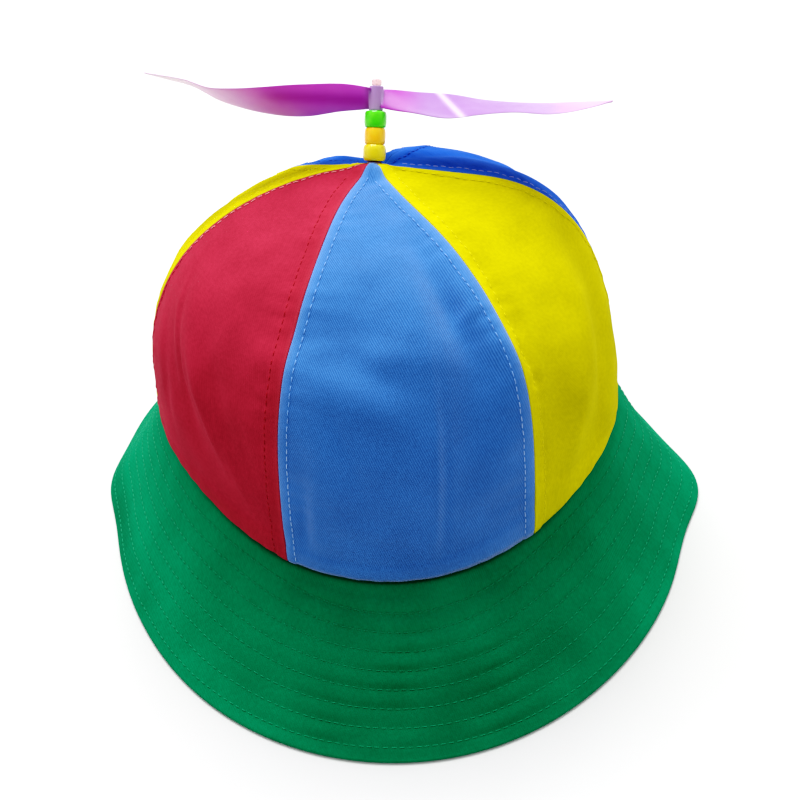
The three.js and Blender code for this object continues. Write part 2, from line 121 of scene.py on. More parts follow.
# The shape round the cap, one column of values for each 30 degrees from the back. Reaches are
# shares of the oval's own size and seam_height of SEAM_HEIGHT. lean and rise are the powers of
# the crown's profile: a smaller rise gives a steeper wall, a smaller lean a fuller shoulder.
AROUND_START = -180
AROUND_STEP = 30
AROUND = {
    "brim_reach": [0.945, 0.946, 0.998, 0.981, 0.988, 1.008, 1.009, 0.996, 1, 0.996, 0.933, 0.929],
    "seam_reach": [1, 1, 1, 1.01, 0.99, 1, 1, 1, 1.02, 1.005, 1, 1],
    "seam_height": [0.74, 0.8, 0.92, 1, 0.92, 0.67, 0.565, 0.665, 0.93, 0.94, 0.9, 0.8],
    "lean": [1.39, 1.27, 1.05, 0.74, 0.8, 0.89, 1, 1.06, 0.98, 0.61, 0.89, 1],
    "rise": [1.06, 0.76, 0.72, 0.72, 0.63, 0.51, 0.51, 0.43, 0.76, 0.83, 0.65, 0.84],
}
ROW_START = 1.7
ROW_END = 1.9

# The seams wind a few degrees round the peak over the last share of their way up
PEAK_TWIST = -9.8
TWIST_SHARE = 0.28
# The seam behind the left shoulder winds the other way: its azimuth, twist and share
LEFT_REAR_SEAM = (-150, 34, 0.42)

# Blunt corners of the brim's outline: azimuth, what each adds to the reach, and half its width
BRIM_CORNERS = [(-98, 0.035, 9.3), (81.4, 0.067, 10.4)]

# Folds of the crown: azimuth, share of the way up, length and width as shares of the crown's
# height, slant from upright in degrees, and depth as a share of FOLD_DEPTH, negative for a dent.
MAIN_FOLDS = [
    (6, 0.49, 0.13, 0.080, 31, 1.0),
    (19.5, 0.45, 0.15, 0.055, 15, -1.1),
    (-17, 0.475, 0.17, 0.050, 90, -0.8),
    (-14, 0.355, 0.16, 0.045, 75, 0.6),
    (-5, 0.41, 0.16, 0.045, 75, -0.5),
    (17, 0.30, 0.16, 0.080, 0, -1.2),
    (7, 0.18, 0.20, 0.040, -5, 0.5),
    (-19, 0.20, 0.12, 0.060, 10, 0.6),
    (29, 0.345, 0.08, 0.050, 0, 0.6),
    (37, 0.42, 0.10, 0.045, 0, -0.8),
    (41, 0.22, 0.20, 0.045, -12, -0.5),
    (54, 0.30, 0.32, 0.050, -38, 0.8),
    (65, 0.28, 0.30, 0.050, -38, -0.7),
    (-40, 0.20, 0.22, 0.045, 36, 0.5),
    (-47, 0.27, 0.20, 0.045, 40, -0.7),
    (-55, 0.28, 0.18, 0.045, 42, 0.7),
    (-63, 0.24, 0.20, 0.050, 50, -0.7),
    (-110, 0.34, 0.32, 0.060, 10, -0.7),
    (-135, 0.26, 0.24, 0.060, -28, 0.6),
    (-160, 0.36, 0.30, 0.060, -20, 0.7),
    (112, 0.34, 0.32, 0.060, -12, -0.8),
    (135, 0.25, 0.22, 0.060, 30, 0.6),
    (165, 0.36, 0.28, 0.070, 25, -0.9),
]

# Finer creases, which lie only in the cloth's surface
FINE_FOLDS = [
    (6.5, 0.17, 0.20, 0.012, -5, 0.25),
    (9.0, 0.17, 0.20, 0.014, -5, -0.28),
    (36, 0.385, 0.07, 0.012, -30, -0.22),
    (39, 0.345, 0.07, 0.012, -25, 0.2),
    (-70, 0.34, 0.14, 0.012, 30, 0.2),
    (-66, 0.32, 0.14, 0.012, 32, -0.22),
    (-24.5, 0.085, 0.07, 0.020, -6, -0.45),
    (-22, 0.10, 0.08, 0.022, -6, 0.25),
    (-14, 0.26, 0.08, 0.016, 28, -0.2),
    (-3, 0.435, 0.12, 0.026, 78, 0.35),
    (-20, 0.455, 0.07, 0.022, 95, 0.25),
    (24, 0.475, 0.06, 0.024, 115, 0.3),
    (33.5, 0.43, 0.06, 0.018, -8, -0.25),
    (35, 0.33, 0.08, 0.018, 8, -0.25),
    (47, 0.20, 0.18, 0.016, -20, 0.18),
    (60, 0.22, 0.16, 0.018, -24, -0.2),
    (-62, 0.30, 0.10, 0.014, 42, 0.22),
    (-59, 0.28, 0.12, 0.014, 42, -0.22),
    (-50, 0.21, 0.12, 0.014, 36, 0.22),
    (-46, 0.17, 0.13, 0.014, 34, -0.22),
    (-42, 0.12, 0.12, 0.013, 34, 0.2),
    (-37, 0.16, 0.15, 0.016, 24, -0.25),
    (-35, 0.10, 0.10, 0.013, 20, 0.18),
    (-72, 0.22, 0.12, 0.020, 25, -0.25),
    (100, 0.42, 0.16, 0.024, -15, 0.3),
    (122, 0.30, 0.20, 0.022, -18, 0.25),
    (143, 0.22, 0.18, 0.020, 20, -0.25),
    (176, 0.25, 0.20, 0.024, 12, 0.3),
    (-170, 0.22, 0.18, 0.020, -12, -0.25),
    (-148, 0.30, 0.18, 0.022, -20, 0.25),
    (-122, 0.25, 0.20, 0.020, 18, 0.25),
    (-100, 0.30, 0.20, 0.022, 12, 0.25),
]

# Panels from seam to seam, the distance of the stitch row from each seam, and the cloth
PANELS = [
    ("panel_front", -30, 31.5, 0.0034, 0.0042, "cloth_light_blue"),
    ("panel_right_front", 31.5, 92, 0.0045, 0.0045, "cloth_yellow"),
    ("panel_right_rear", 92, 150, 0.0034, 0.0045, "cloth_royal_blue"),
    ("panel_rear", 150, 210, 0.0045, 0.0045, "cloth_royal_blue"),
    ("panel_left_rear", -150, -89.2, 0.0045, 0.0045, "cloth_yellow"),
    ("panel_left_front", -89.2, -30, 0.0016, 0.0052, "cloth_red"),
]

# Blade sections: at and rise are shares of the blade's length, chord of its full chord, and
# pitch is in degrees
RIGHT_BLADE = {
    "at": [0.022, 0.14, 0.30, 0.44, 0.58, 0.75, 0.87, 0.95, 1],
    "chord": [0.38, 0.60, 0.80, 0.95, 1, 0.90, 0.68, 0.40, 0.12],
    "pitch": [56, 39, 34, 20, 14, 16, 15, 12, 8],
    "rise": [0, -0.01, -0.023, -0.023, -0.02, -0.02, -0.005, 0.008, 0.016],
}
LEFT_BLADE = {
    "at": [0.022, 0.14, 0.30, 0.48, 0.60, 0.70, 0.80, 0.92, 1],
    "chord": [0.38, 0.60, 0.80, 0.98, 1, 0.95, 0.80, 0.50, 0.12],
    "pitch": [56, 42, 35, 21, 13, 7, 3, 1, 0],
    "rise": [0, 0, -0.017, -0.023, -0.016, 0, 0.04, 0.065, 0.08],
}

# Sewing. EDGE_RADIUS and HEM_RADIUS are those of the turned cloth at a seam and at the hem.
EDGE_RADIUS = 0.0005
HEM_RADIUS = 0.0006
STITCH_PITCH = 0.0029
STITCH_LENGTH = 0.0021
# How far the stitches stray from an even spacing, and their shortest and longest as shares
STITCH_SCATTER = 0.00008
STITCH_REACH = (0.92, 1.05)
THREAD_RADIUS = 0.00019
# Outline of one stitch: share along it, height and radius as shares of the thread's radius
STITCH_RINGS = [(0, -0.7, 0.35), (0.1, 0.35, 0.9), (0.5, 0.6, 1), (0.9, 0.35, 0.9), (1, -0.7, 0.35)]
STITCH_SIDES = 6
# Narrowest row of a panel that still gets stitches, in distances from its seam to the stitches
STITCH_ROOM = 2.6
GROOVE_DEPTH = 0.00015
GROOVE_HALF_WIDTH = 0.0006
ALLOWANCE_HEIGHT = 0.0004
ALLOWANCE_BLUR = 0.0012
HEM_ALLOWANCE = 0.0075
HEM_ALLOWANCE_BLUR = 0.0016
# How far the hem's allowance wavers, and over what length
HEM_WAVER = (0.0008, 0.045)
# Puckers along a seam and along the hem: height, wavelength, and how much and over what length
# their spacing drifts. PUCKER_REACH is how far they run into the cloth.
SEAM_PUCKERS = (0.0002, 0.0092, 2.1, 0.037)
HEM_PUCKERS = (0.00012, 0.0105, 1.8, 0.041)
PUCKER_REACH = 0.006
BRIM_FIRST_ROW = 0.004
BRIM_ROW_PITCH = 0.0069
BRIM_STITCH_ROWS = 8
BRIM_SEED = 900

# Waves of the crown's cloth: height and wavelength of the wide and the narrow ones, how far from
# a seam they are calmed, and the share of the wide ones that is left at the seam
WIDE_WAVES = (0.0003, 0.030)
NARROW_WAVES = (0.0001, 0.011)
CALM_REACH = 0.012
WAVES_AT_SEAM = 0.3

# Ripples between the brim's stitch rows: height all round, height added at the front, and that
# front's azimuth and half width in degrees
RIPPLE_HEIGHT = 0.00006
FRONT_RIPPLE_HEIGHT = 0.00105
RIPPLE_FRONT = (-2, 24)
# How uneven the ripples are, as a share of their height, over what length, and the seed
RIPPLE_UNEVENNESS = (0.5, 0.030, 71)
# Power that flattens the ripples' crests, and their middle level as a share of their height
RIPPLE_POWER = 0.8
RIPPLE_MIDDLE = 0.6
# Waves of the brim's cloth: height, wavelength and seed
BRIM_WAVES = [(0.0004, 0.060, 72), (0.0001, 0.016, 73)]
BRIM_CALM_REACH = 0.006

MILLIMETRES = 1000

# Mesh density. EDGE_DISTANCES are a panel's columns beside a seam, in millimetres from it.
PANEL_ROWS = 126
PANEL_MIDDLE_COLUMNS = 62
EDGE_DISTANCES = [0, 0.1, 0.25, 0.45, 0.7, 1, 1.5, 2, 2.6, 3.2, 3.8, 4.4, 5, 5.8, 7]
BRIM_COLUMNS = 720
BRIM_FACE_ROWS = 66
BRIM_INNER_ROWS = 14
BRIM_END_STEPS = 8

# Colours of the cloth in linear light: the bottom of the weave, its ridges, worn edges, and
# the band beside a seam where the cloth lies double, which for the brim is painted shade
CLOTH = {
    "cloth_light_blue": (
        (0.026, 0.112, 0.360), (0.078, 0.208, 0.560), (0.210, 0.360, 0.720), (0.064, 0.186, 0.520),
    ),
    "cloth_yellow": (
        (0.435, 0.387, 0.000), (0.548, 0.496, 0.002), (0.620, 0.590, 0.050), (0.560, 0.500, 0.000),
    ),
    "cloth_royal_blue": (
        (0.010, 0.055, 0.330), (0.026, 0.110, 0.500), (0.080, 0.200, 0.620), (0.020, 0.085, 0.420),
    ),
    "cloth_red": (
        (0.290, 0.025, 0.045), (0.390, 0.040, 0.070), (0.500, 0.080, 0.110), (0.325, 0.030, 0.050),
    ),
    # The brim's last colour is painted shade
    "cloth_green": (
        (0.000, 0.160, 0.078), (0.001, 0.225, 0.112), (0.010, 0.260, 0.130), (0.000, 0.020, 0.008),
    ),
}
# How strongly the weave shows
CONTRAST = {
    "cloth_light_blue": 1.7,
    "cloth_yellow": 0.4,
    "cloth_royal_blue": 0.6,
    "cloth_red": 0.4,
    "cloth_green": 0.4,
}
# Fuzz of each cloth: how much it shows in the light, and its colour
FUZZ = {
    "cloth_light_blue": (0.34, (0.95, 0.92, 1.00)),
    "cloth_yellow": (0.06, (0.80, 0.75, 0.10)),
    "cloth_royal_blue": (0.15, (0.30, 0.45, 1.00)),
    "cloth_red": (0.08, (0.80, 0.20, 0.25)),
    "cloth_green": (0.06, (0.05, 0.60, 0.30)),
}
# Thread of each cloth, and of the stitch rows that differ from it
THREADS = {
    "cloth_yellow": (0.660, 0.600, 0.000),
    "cloth_royal_blue": (0.010, 0.055, 0.350),
    "cloth_red": (0.330, 0.004, 0.020),
    "cloth_green": (0.003, 0.225, 0.110),
    "panel_front_stitches_0": (0.165, 0.345, 0.760),
    "panel_front_stitches_1": (0.175, 0.355, 0.780),
    "panel_right_rear_stitches_0": (0.250, 0.270, 0.560),
    "panel_left_front_stitches_0": (0.800, 0.300, 0.320),
}
# Rows whose thread has another colour near the brim, and over what share of the row's length
LOW_THREADS = {
    "panel_front_stitches_0": ((0.330, 0.500, 0.850), 0.40),
    "panel_front_stitches_1": ((0.330, 0.480, 0.820), 0.45),
    "panel_left_front_stitches_0": ((0.520, 0.030, 0.070), 0.55),
}
LOW_THREAD_BLUR = 0.12

# Wear at a panel's edges fades over WEAR_REACH, and the brim's rim has less of it
WEAR_REACH = 0.0009
HEM_WEAR_INSET = 0.0005
RIM_WEAR = 0.3
RIM_WEAR_REACH = 0.0012
# Blur of the band beside a seam and above the hem, and how strongly the hem's shows
BAND_BLUR = 0.0016
HEM_BAND_BLUR = 0.003
HEM_BAND_SHARE = 0.8
# Painted shade on the brim: azimuth and half width in degrees, reach from the edge, blur, strength
BRIM_PAINTED_SHADES = [(2, 34, 0.046, 0.030, 0.58), (-86, 22, 0.018, 0.012, 0.4)]
# Painted shadow line under the crown's hem: azimuth and half width in degrees, width and blur
HEM_PAINTED_SHADOW = (-8, 48, 0.0022, 0.001)

# Weave, in millimetres of cloth, and how steeply its ribs run down to the right
TWILL_PITCH = 0.78
YARN_PITCH = 0.5
TWILL_SLANT = 70
# Noise over the cloth, in waves for each millimetre: drift of the ribs, fuzz, specks and mottling
DRIFT_SCALE = 0.25
FUZZ_SCALE = 2.4
SPECK_SCALE = 0.7
MOTTLE_SCALE = 0.045
WEAVE_DEPTH = 0.00012

# Colours of the propeller's plastic in linear light; MAGENTA, DEEP_VIOLET and TIP_WHITE paint light and
# shade
LAVENDER = (0.350, 0.150, 0.490)
LILAC = (0.430, 0.220, 0.570)
MAGENTA = (0.800, 0.130, 0.800)
DEEP_VIOLET = (0.420, 0.030, 0.420)
TIP_WHITE = (0.880, 0.700, 0.880)
# Tints of painted light and shade along the propeller, in shares of a blade's length from the hub: where
# each starts to grow and over what length, or where it is gone and over what length it fades, as a
# negative length
LEFT_MAGENTA = (0.02, 0.04)
LEFT_DEEP = (0.55, -0.15)
LEFT_PALE = (0.42, 0.5)
RIGHT_DEEP = (0.24, -0.16)
RIGHT_PALE = (0.5, 0.5)
RIGHT_MAGENTA = (0.72, 0.12)
# Painted highlight: a pale streak across the right blade, as shares of the blade's length: place, slant,
# half width
STREAK = (0.30, 0.05, 0.016)

# Beads from the bottom: radius, radius of the flat ends, colour and paler swirl
BEADS = [
    ("bead_yellow", 0.0043, 0.0029, (0.800, 0.660, 0.000), (0.880, 0.760, 0.020)),
    ("bead_orange", 0.0040, 0.0030, (1.000, 0.540, 0.001), (1.000, 0.700, 0.020)),
    ("bead_green", 0.0042, 0.0031, (0.060, 0.740, 0.000), (0.140, 0.860, 0.010)),
]

# Studio
FLOOR_GREY = (0.63, 0.63, 0.63)
FLOOR_PALE = (0.65, 0.65, 0.65)
FLOOR_RADIUS = 8
SKY_LEVEL = 0.95
SKY_FRONT = 0.3
TOP_LIGHT_PLACE = (-0.1, 0.75, 1.6)
TOP_LIGHT_TARGET = (0, 0, 0.05)
TOP_LIGHT_SIZE = 1.0
TOP_LIGHT_POWER = 37
# The camera's tones between black and white: pairs of linear light, as rendered and as shown
TONES = [(0.030, 0.008), (0.070, 0.045), (0.127, 0.125), (0.305, 0.385), (0.645, 0.740)]

# Camera: the photograph's, for a square picture, in the hat's own frame
CAMERA_PLACE = (-0.02433, -0.46429, 0.42324)
CAMERA_TARGET = (0.0046, 0, 0.046)
CAMERA_ROLL = math.radians(-3.2)
CAMERA_LENS = 66.33
CAMERA_SENSOR = 36


def around(column, azimuth):
    """Value of one column of AROUND at any azimuth, by a closed Catmull-Rom curve."""
    values = np.array(AROUND[column])
    place = (np.asarray(azimuth, float) - AROUND_START) / AROUND_STEP
    row = np.floor(place).astype(int)
    share = place - row
    a, b, c, d = (values[(row + step) % len(values)] for step in (-1, 0, 1, 2))
    cubic = 2 * a - 5 * b + 4 * c - d + share * (3 * (b - c) + d - a)
    return b + 0.5 * share * (c - a + share * cubic)


def oval_radius(azimuth, half_width, half_length, power):
    angle = np.radians(azimuth)
    across = np.abs(np.sin(angle) / half_width) ** power
    along = np.abs(np.cos(angle) / half_length) ** power
    return (across + along) ** (-1 / power)


def outwards(azimuth):
    """Unit vector that points outwards at an azimuth."""
    angle = np.radians(azimuth)
    return np.stack([np.sin(angle), -np.cos(angle), np.zeros_like(angle)], axis=-1)


def unit(vectors):
    return vectors / np.linalg.norm(vectors, axis=-1, keepdims=True)


def turn_between(start, azimuth):
    """Turn from one azimuth to another, between -180 and 180 degrees."""
    turn = azimuth - start
    return turn - 360 * np.round(turn / 360)


def brim_edge_point(azimuth):
    """Point on the brim's outer edge, on the table, in the hat's own frame."""
    reach = around("brim_reach", azimuth)
    for corner, size, width in BRIM_CORNERS:
        reach = reach + size * np.exp(-((turn_between(corner, azimuth) / width) ** 2))
    oval = oval_radius(azimuth, BRIM_HALF_WIDTH, BRIM_HALF_LENGTH, 2)
    return outwards(azimuth) * (oval * reach)[..., None]


def seam_azimuth(azimuth, up):
    """Azimuth of a seam at a share of the way up, as it winds round the peak."""
    seam, twist, share = LEFT_REAR_SEAM
    if abs(turn_between(azimuth, seam)) > 1:
        twist, share = PEAK_TWIST, TWIST_SHARE
    return azimuth + twist * np.exp(-(((1 - up) / share) ** 3))


def hat_origin():
    """Where the hat's own frame lies in the row's, which has its origin mid-way under the brim."""
    outline = brim_edge_point(np.arange(72) * 5.0)
    middle = (outline.min(axis=0) + outline.max(axis=0)) / 2
    return -middle


HAT_ORIGIN = hat_origin()


def seam_point(azimuth):
    """Point on the seam line where crown and brim meet."""
    oval = oval_radius(azimuth, HEAD_HALF_WIDTH, HEAD_HALF_LENGTH, HEAD_OVAL_POWER)
    point = outwards(azimuth) * (oval * around("seam_reach", azimuth))[..., None]
    point[..., 2] = SEAM_HEIGHT * around("seam_height", azimuth)
    return point


def post_direction():
    return np.array([
        math.sin(POST_LEAN_RIGHT),
        math.sin(POST_LEAN_BACK) * math.cos(POST_LEAN_RIGHT),
        math.cos(POST_LEAN_BACK) * math.cos(POST_LEAN_RIGHT),
    ])


POST_DIRECTION = post_direction()


def near_peak(point):
    """1 close to the peak, where the cloth lies square to the post, and 0 a little way off."""
    distance = np.hypot(point[..., 0] - PEAK[0], point[..., 1] - PEAK[1])
    return np.exp(-((distance / PEAK_RADIUS) ** 4))


def level_crown_point(azimuth, up):
    """Crown's surface without folds and before its peak is tilted. up is 0 at the seam, 1 at the post."""
    azimuth, up = np.broadcast_arrays(np.asarray(azimuth, float), np.asarray(up, float))
    angle = (1 - (1 - up**ROW_START) ** ROW_END) * math.pi / 2
    reach = np.clip(np.cos(angle), 0, None) ** around("lean", azimuth)
    climb = np.sin(angle) ** around("rise", azimuth)
    seam = seam_point(azimuth)
    hole = outwards(azimuth) * POST_HOLE_RADIUS + PEAK
    point = hole + (seam - hole) * reach[..., None]
    point[..., 2] = seam[..., 2] + (PEAK[2] - seam[..., 2]) * climb
    return point


def smooth_crown_point(azimuth, up):
    """Crown's surface without folds, tilted at the peak to lie square to the post."""
    point = level_crown_point(azimuth, up)
    slope = (point[..., :2] - PEAK[:2]) @ POST_DIRECTION[:2]
    point[..., 2] -= slope / POST_DIRECTION[2] * near_peak(point)
    return point


def crown_normal(azimuth, up):
    """Outward direction across the crown's cloth."""
    low = level_crown_point(azimuth, np.maximum(up - SLOPE_STEP, 0))
    high = level_crown_point(azimuth, np.minimum(up + SLOPE_STEP, 1))
    left = level_crown_point(azimuth - 1, up)
    right = level_crown_point(azimuth + 1, up)
    share = near_peak(level_crown_point(azimuth, up))[..., None]
    normal = unit(np.cross(right - left, high - low))
    return unit(normal + (POST_DIRECTION - normal) * share)


def fold_height(azimuth, up, folds):
    """Height that the folds add at each place on the crown."""
    height = np.zeros_like(azimuth)
    for fold_azimuth, fold_up, length, width, slant, depth in folds:
        beside = np.radians(turn_between(fold_azimuth, azimuth)) * HEAD_HALF_WIDTH
        above = (up - fold_up) * CROWN_HEIGHT
        lean = math.radians(slant)
        across = (beside * math.cos(lean) + above * math.sin(lean)) / (width * CROWN_HEIGHT)
        along = (above * math.cos(lean) - beside * math.sin(lean)) / (length * CROWN_HEIGHT)
        height = height + depth * FOLD_DEPTH * np.exp(-across**2 - along**2)
    return height


def smooth_step(value):
    value = np.clip(value, 0, 1)
    return value * value * (3 - 2 * value)


def ramp(value, start, length):
    """0 up to start and 1 from a length further on, or the reverse for a negative length."""
    return smooth_step((value - start) / length)


def cloth_noise(points, wavelength, seed, waves=14):
    """Smooth random height, mostly from -1.5 to 1.5: a sum of plane waves in random directions."""
    random = np.random.default_rng(seed)
    directions = unit(random.normal(size=(waves, 3)))
    lengths = wavelength * random.uniform(0.7, 1.6, waves)
    phases = random.uniform(0, 2 * math.pi, waves)
    turns = points @ (directions / lengths[:, None]).T * 2 * math.pi + phases
    return np.sin(turns).sum(axis=-1) / math.sqrt(waves)


def path_lengths(points):
    """Distance along a line of points from its first, along the second last axis."""
    steps = np.linalg.norm(np.diff(points, axis=-2), axis=-1)
    start = np.zeros(steps.shape[:-1] + (1,))
    return np.concatenate([start, np.cumsum(steps, axis=-1)], axis=-1)


def rounded_edge(distance, radius):
    """Drop of a surface that turns over an edge in a quarter round."""
    short = np.clip(radius - distance, 0, radius)
    return np.sqrt(radius**2 - short**2) - radius


def puckers(along, distance, look, seed, shift):
    """Small ripples along a row of sewing, which fade away from it."""
    height, wavelength, drift, drift_length = look
    turn = 2 * math.pi * along
    ripple = np.sin(turn / wavelength + drift * np.sin(turn / drift_length + seed) + shift)
    return height * ripple * np.exp(-distance / PUCKER_REACH)


def seam_relief(distance, along, stitch_distance, seed):
    """Height of the cloth beside a sewn seam: turned edge, seam allowance, stitch groove, puckers."""
    turned = rounded_edge(distance, EDGE_RADIUS)
    past_row = distance - stitch_distance
    allowance = ALLOWANCE_HEIGHT * smooth_step(0.5 - past_row / ALLOWANCE_BLUR)
    pull = 0.75 + 0.25 * np.cos(2 * math.pi * along / STITCH_PITCH)
    groove = GROOVE_DEPTH * pull * np.exp(-((past_row / GROOVE_HALF_WIDTH) ** 2))
    puckered = puckers(along, np.clip(past_row, 0, None), SEAM_PUCKERS, seed, seed)
    return turned + allowance - groove + puckered * smooth_step(distance / stitch_distance)


def even_ups(count):
    """Shares up the crown that lie at even distances along its front."""
    dense = np.linspace(0, 1, 900)
    lengths = path_lengths(smooth_crown_point(np.zeros_like(dense), dense))
    return np.interp(np.linspace(0, lengths[-1], count), lengths, dense)


def column_distances(width):
    """Places of a panel's columns across a row, crowded beside both seams."""
    edge = np.array(EDGE_DISTANCES) / MILLIMETRES
    edge = edge * min(1, 0.35 * width / edge[-1])
    middle = np.linspace(edge[-1], width - edge[-1], PANEL_MIDDLE_COLUMNS + 1)[1:-1]
    return np.concatenate([edge, middle, (width - edge)[::-1]])


def panel_places(start, end):
    """Azimuth, share up and distance from the first seam of each point in a panel's grid."""
    ups = even_ups(PANEL_ROWS)
    dense = np.linspace(seam_azimuth(start, ups), seam_azimuth(end, ups), 241, axis=1)
    lengths = path_lengths(smooth_crown_point(dense, ups[:, None]))
    distances = np.array([column_distances(row[-1]) for row in lengths])
    azimuths = np.array([np.interp(*row) for row in zip(distances, lengths, dense)])
    return azimuths, np.broadcast_to(ups[:, None], azimuths.shape), distances


def panel_grid(start, end, first_stitch, last_stitch, seed):
    """Outer points of one panel, their normals, and their distances from its first seam and hem."""
    azimuth, up, distance = panel_places(start, end)
    smooth = smooth_crown_point(azimuth, up)
    normal = crown_normal(azimuth, up)
    to_end = distance[:, -1:] - distance
    height_up = path_lengths(smooth[:, distance.shape[1] // 2])[:, None]
    first_along = path_lengths(smooth[:, 0])[:, None]
    last_along = path_lengths(smooth[:, -1])[:, None]
    fade = np.minimum(np.minimum(up / FOLD_FADE_LOW, (1 - up) / FOLD_FADE_HIGH), 1)
    calm = smooth_step(np.minimum(distance, to_end) / CALM_REACH) * smooth_step(height_up / CALM_REACH)
    wide_share = WAVES_AT_SEAM + (1 - WAVES_AT_SEAM) * calm
    height = fold_height(azimuth, up, MAIN_FOLDS + FINE_FOLDS) * fade
    height += WIDE_WAVES[0] * cloth_noise(smooth, WIDE_WAVES[1], seed) * wide_share * fade
    height += NARROW_WAVES[0] * cloth_noise(smooth, NARROW_WAVES[1], seed + 1) * calm * fade
    height += seam_relief(distance, first_along, first_stitch, seed)
    height += seam_relief(to_end, last_along, last_stitch, seed + 2)
    height += hem_relief(height_up, distance, seed)
    points = smooth + normal * height[..., None]
    points[..., 2] += SEAM_GAP - (SEAM_GAP + LIP_DROP) * np.exp(-height_up / LIP_REACH)
    return points, normal, distance, height_up


def hem_relief(height_up, along, seed):
    """Height of the cloth above the brim: its turned edge, and the allowance that lies behind it."""
    waver = HEM_WAVER[0] * np.sin(2 * math.pi * along / HEM_WAVER[1] + seed)
    allowance = smooth_step((HEM_ALLOWANCE + waver - height_up) / HEM_ALLOWANCE_BLUR)
    puckered = puckers(along, height_up, HEM_PUCKERS, seed, 0)
    return rounded_edge(height_up, HEM_RADIUS) + ALLOWANCE_HEIGHT * allowance + puckered


def wall_faces(rows, columns):
    """Quads of a closed wall: an outer grid, an inner one with the same points, and its four edges."""
    at = np.arange(2 * rows * columns).reshape(2, rows, columns)
    outer, inner = at
    quads = [
        np.stack([outer[:-1, :-1], outer[:-1, 1:], outer[1:, 1:], outer[1:, :-1]], axis=-1),
        np.stack([inner[:-1, :-1], inner[1:, :-1], inner[1:, 1:], inner[:-1, 1:]], axis=-1),
        np.stack([outer[:-1, 0], outer[1:, 0], inner[1:, 0], inner[:-1, 0]], axis=-1),
        np.stack([outer[:-1, -1], inner[:-1, -1], inner[1:, -1], outer[1:, -1]], axis=-1),
        np.stack([outer[0, 1:], outer[0, :-1], inner[0, :-1], inner[0, 1:]], axis=-1),
        np.stack([outer[-1, :-1], outer[-1, 1:], inner[-1, 1:], inner[-1, :-1]], axis=-1),
    ]
    return np.concatenate([quad.reshape(-1, 4) for quad in quads])


def ring_faces(rings, points):
    """Quads between closed rings of points, the last ring joined to the first."""
    at = np.arange(rings * points).reshape(rings, points)
    beside = np.roll(at, -1, axis=1)
    following = np.roll(at, -1, axis=0)
    return np.stack([at, beside, np.roll(beside, -1, axis=0), following], axis=-1).reshape(-1, 4)


def store(mesh, name, values):
    """Stores one value for each point of a mesh."""
    layer = mesh.attributes.new(name, "FLOAT", "POINT")
    layer.data.foreach_set("value", np.asarray(values).astype(np.float32).ravel())


def bare_mesh(name, points, faces):
    """Object from points and faces, which rides on nothing yet."""
    mesh = bpy.data.meshes.new(name)
    mesh.from_pydata(np.asarray(points).reshape(-1, 3).tolist(), [], [list(face) for face in faces])
    piece = bpy.data.objects.new(name, mesh)
    bpy.context.scene.collection.objects.link(piece)
    return piece


def new_piece(name, points, faces, material, weave=None, **values):
    """Smooth piece of the cap, with its place in the weave and other values stored on its mesh."""
    piece = bare_mesh(name, points, faces)
    mesh = piece.data
    mesh.shade_smooth()
    mesh.materials.append(material)
    if weave is not None:
        corners = np.zeros(len(mesh.loops), int)
        mesh.loops.foreach_get("vertex_index", corners)
        layer = mesh.uv_layers.new(name="weave")
        places = np.asarray(weave).reshape(-1, 2)[corners]
        layer.uv.foreach_set("vector", places.astype(np.float32).ravel())
    for key, value in values.items():
        store(mesh, key, value)
    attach(piece, "cap")
    return piece


def on_line(at, places, line):
    """Points on a line at given places along it."""
    return np.stack([np.interp(at, places, line[:, axis]) for axis in range(3)], axis=-1)


def stitches(path, normal, seed):
    """Points, weave and share along the row of each stitch that lies on a path over the cloth."""
    lengths = path_lengths(path)
    random = np.random.default_rng(seed)
    count = int(lengths[-1] / STITCH_PITCH)
    starts = np.arange(count) * (lengths[-1] / count) + (STITCH_PITCH - STITCH_LENGTH) / 2
    starts = starts + random.normal(0, STITCH_SCATTER, count)
    reach = STITCH_LENGTH * random.uniform(*STITCH_REACH, count)
    share, height, size = np.array(STITCH_RINGS).T
    along = starts[:, None] + reach[:, None] * share
    centre = on_line(along, lengths, path)
    out = unit(on_line(along, lengths, normal))
    ahead = unit(centre[:, -1:] - centre[:, :1])
    side = unit(np.cross(ahead, out))
    centre = centre + out * height[:, None] * THREAD_RADIUS
    turn = np.arange(STITCH_SIDES) / STITCH_SIDES
    cos, sin = np.cos(turn * 2 * math.pi)[:, None], np.sin(turn * 2 * math.pi)[:, None]
    ring = (side[:, :, None] * cos + out[:, :, None] * sin) * size[:, None, None] * THREAD_RADIUS
    points = (centre[:, :, None] + ring).reshape(count, -1, 3)
    weave = np.stack(np.broadcast_arrays(turn, along[:, :, None] * MILLIMETRES), axis=-1)
    row_share = np.broadcast_to(starts[:, None] / lengths[-1], points.shape[:2])
    return points, weave.reshape(count, -1, 2), row_share


def stitch_faces(count):
    """Faces of a number of stitches: four bands of quads and two end caps each."""
    rings = len(STITCH_RINGS)
    at = np.arange(rings * STITCH_SIDES).reshape(rings, STITCH_SIDES)
    beside = np.roll(at, -1, axis=1)
    band = np.stack([at[:-1], at[1:], beside[1:], beside[:-1]], axis=-1).reshape(-1, 4)
    one = [list(quad) for quad in band] + [list(at[0]), list(at[-1][::-1])]
    size = rings * STITCH_SIDES
    return [[corner + size * stitch for corner in face] for stitch in range(count) for face in one]


def stitch_piece(name, rows, slot):
    """One piece from rows of stitches, whose thread may have another colour near the brim."""
    rgb = THREADS.get(name) or THREADS[slot]
    low_rgb, low_share = LOW_THREADS.get(name, (rgb, -1))
    points, weave, share = (np.concatenate(part) for part in zip(*rows))
    low = smooth_step((low_share - share) / LOW_THREAD_BLUR)
    material = thread(name, rgb, low_rgb)
    piece = new_piece(name, points, stitch_faces(len(points)), material, weave=weave, wear=low)
    return piece


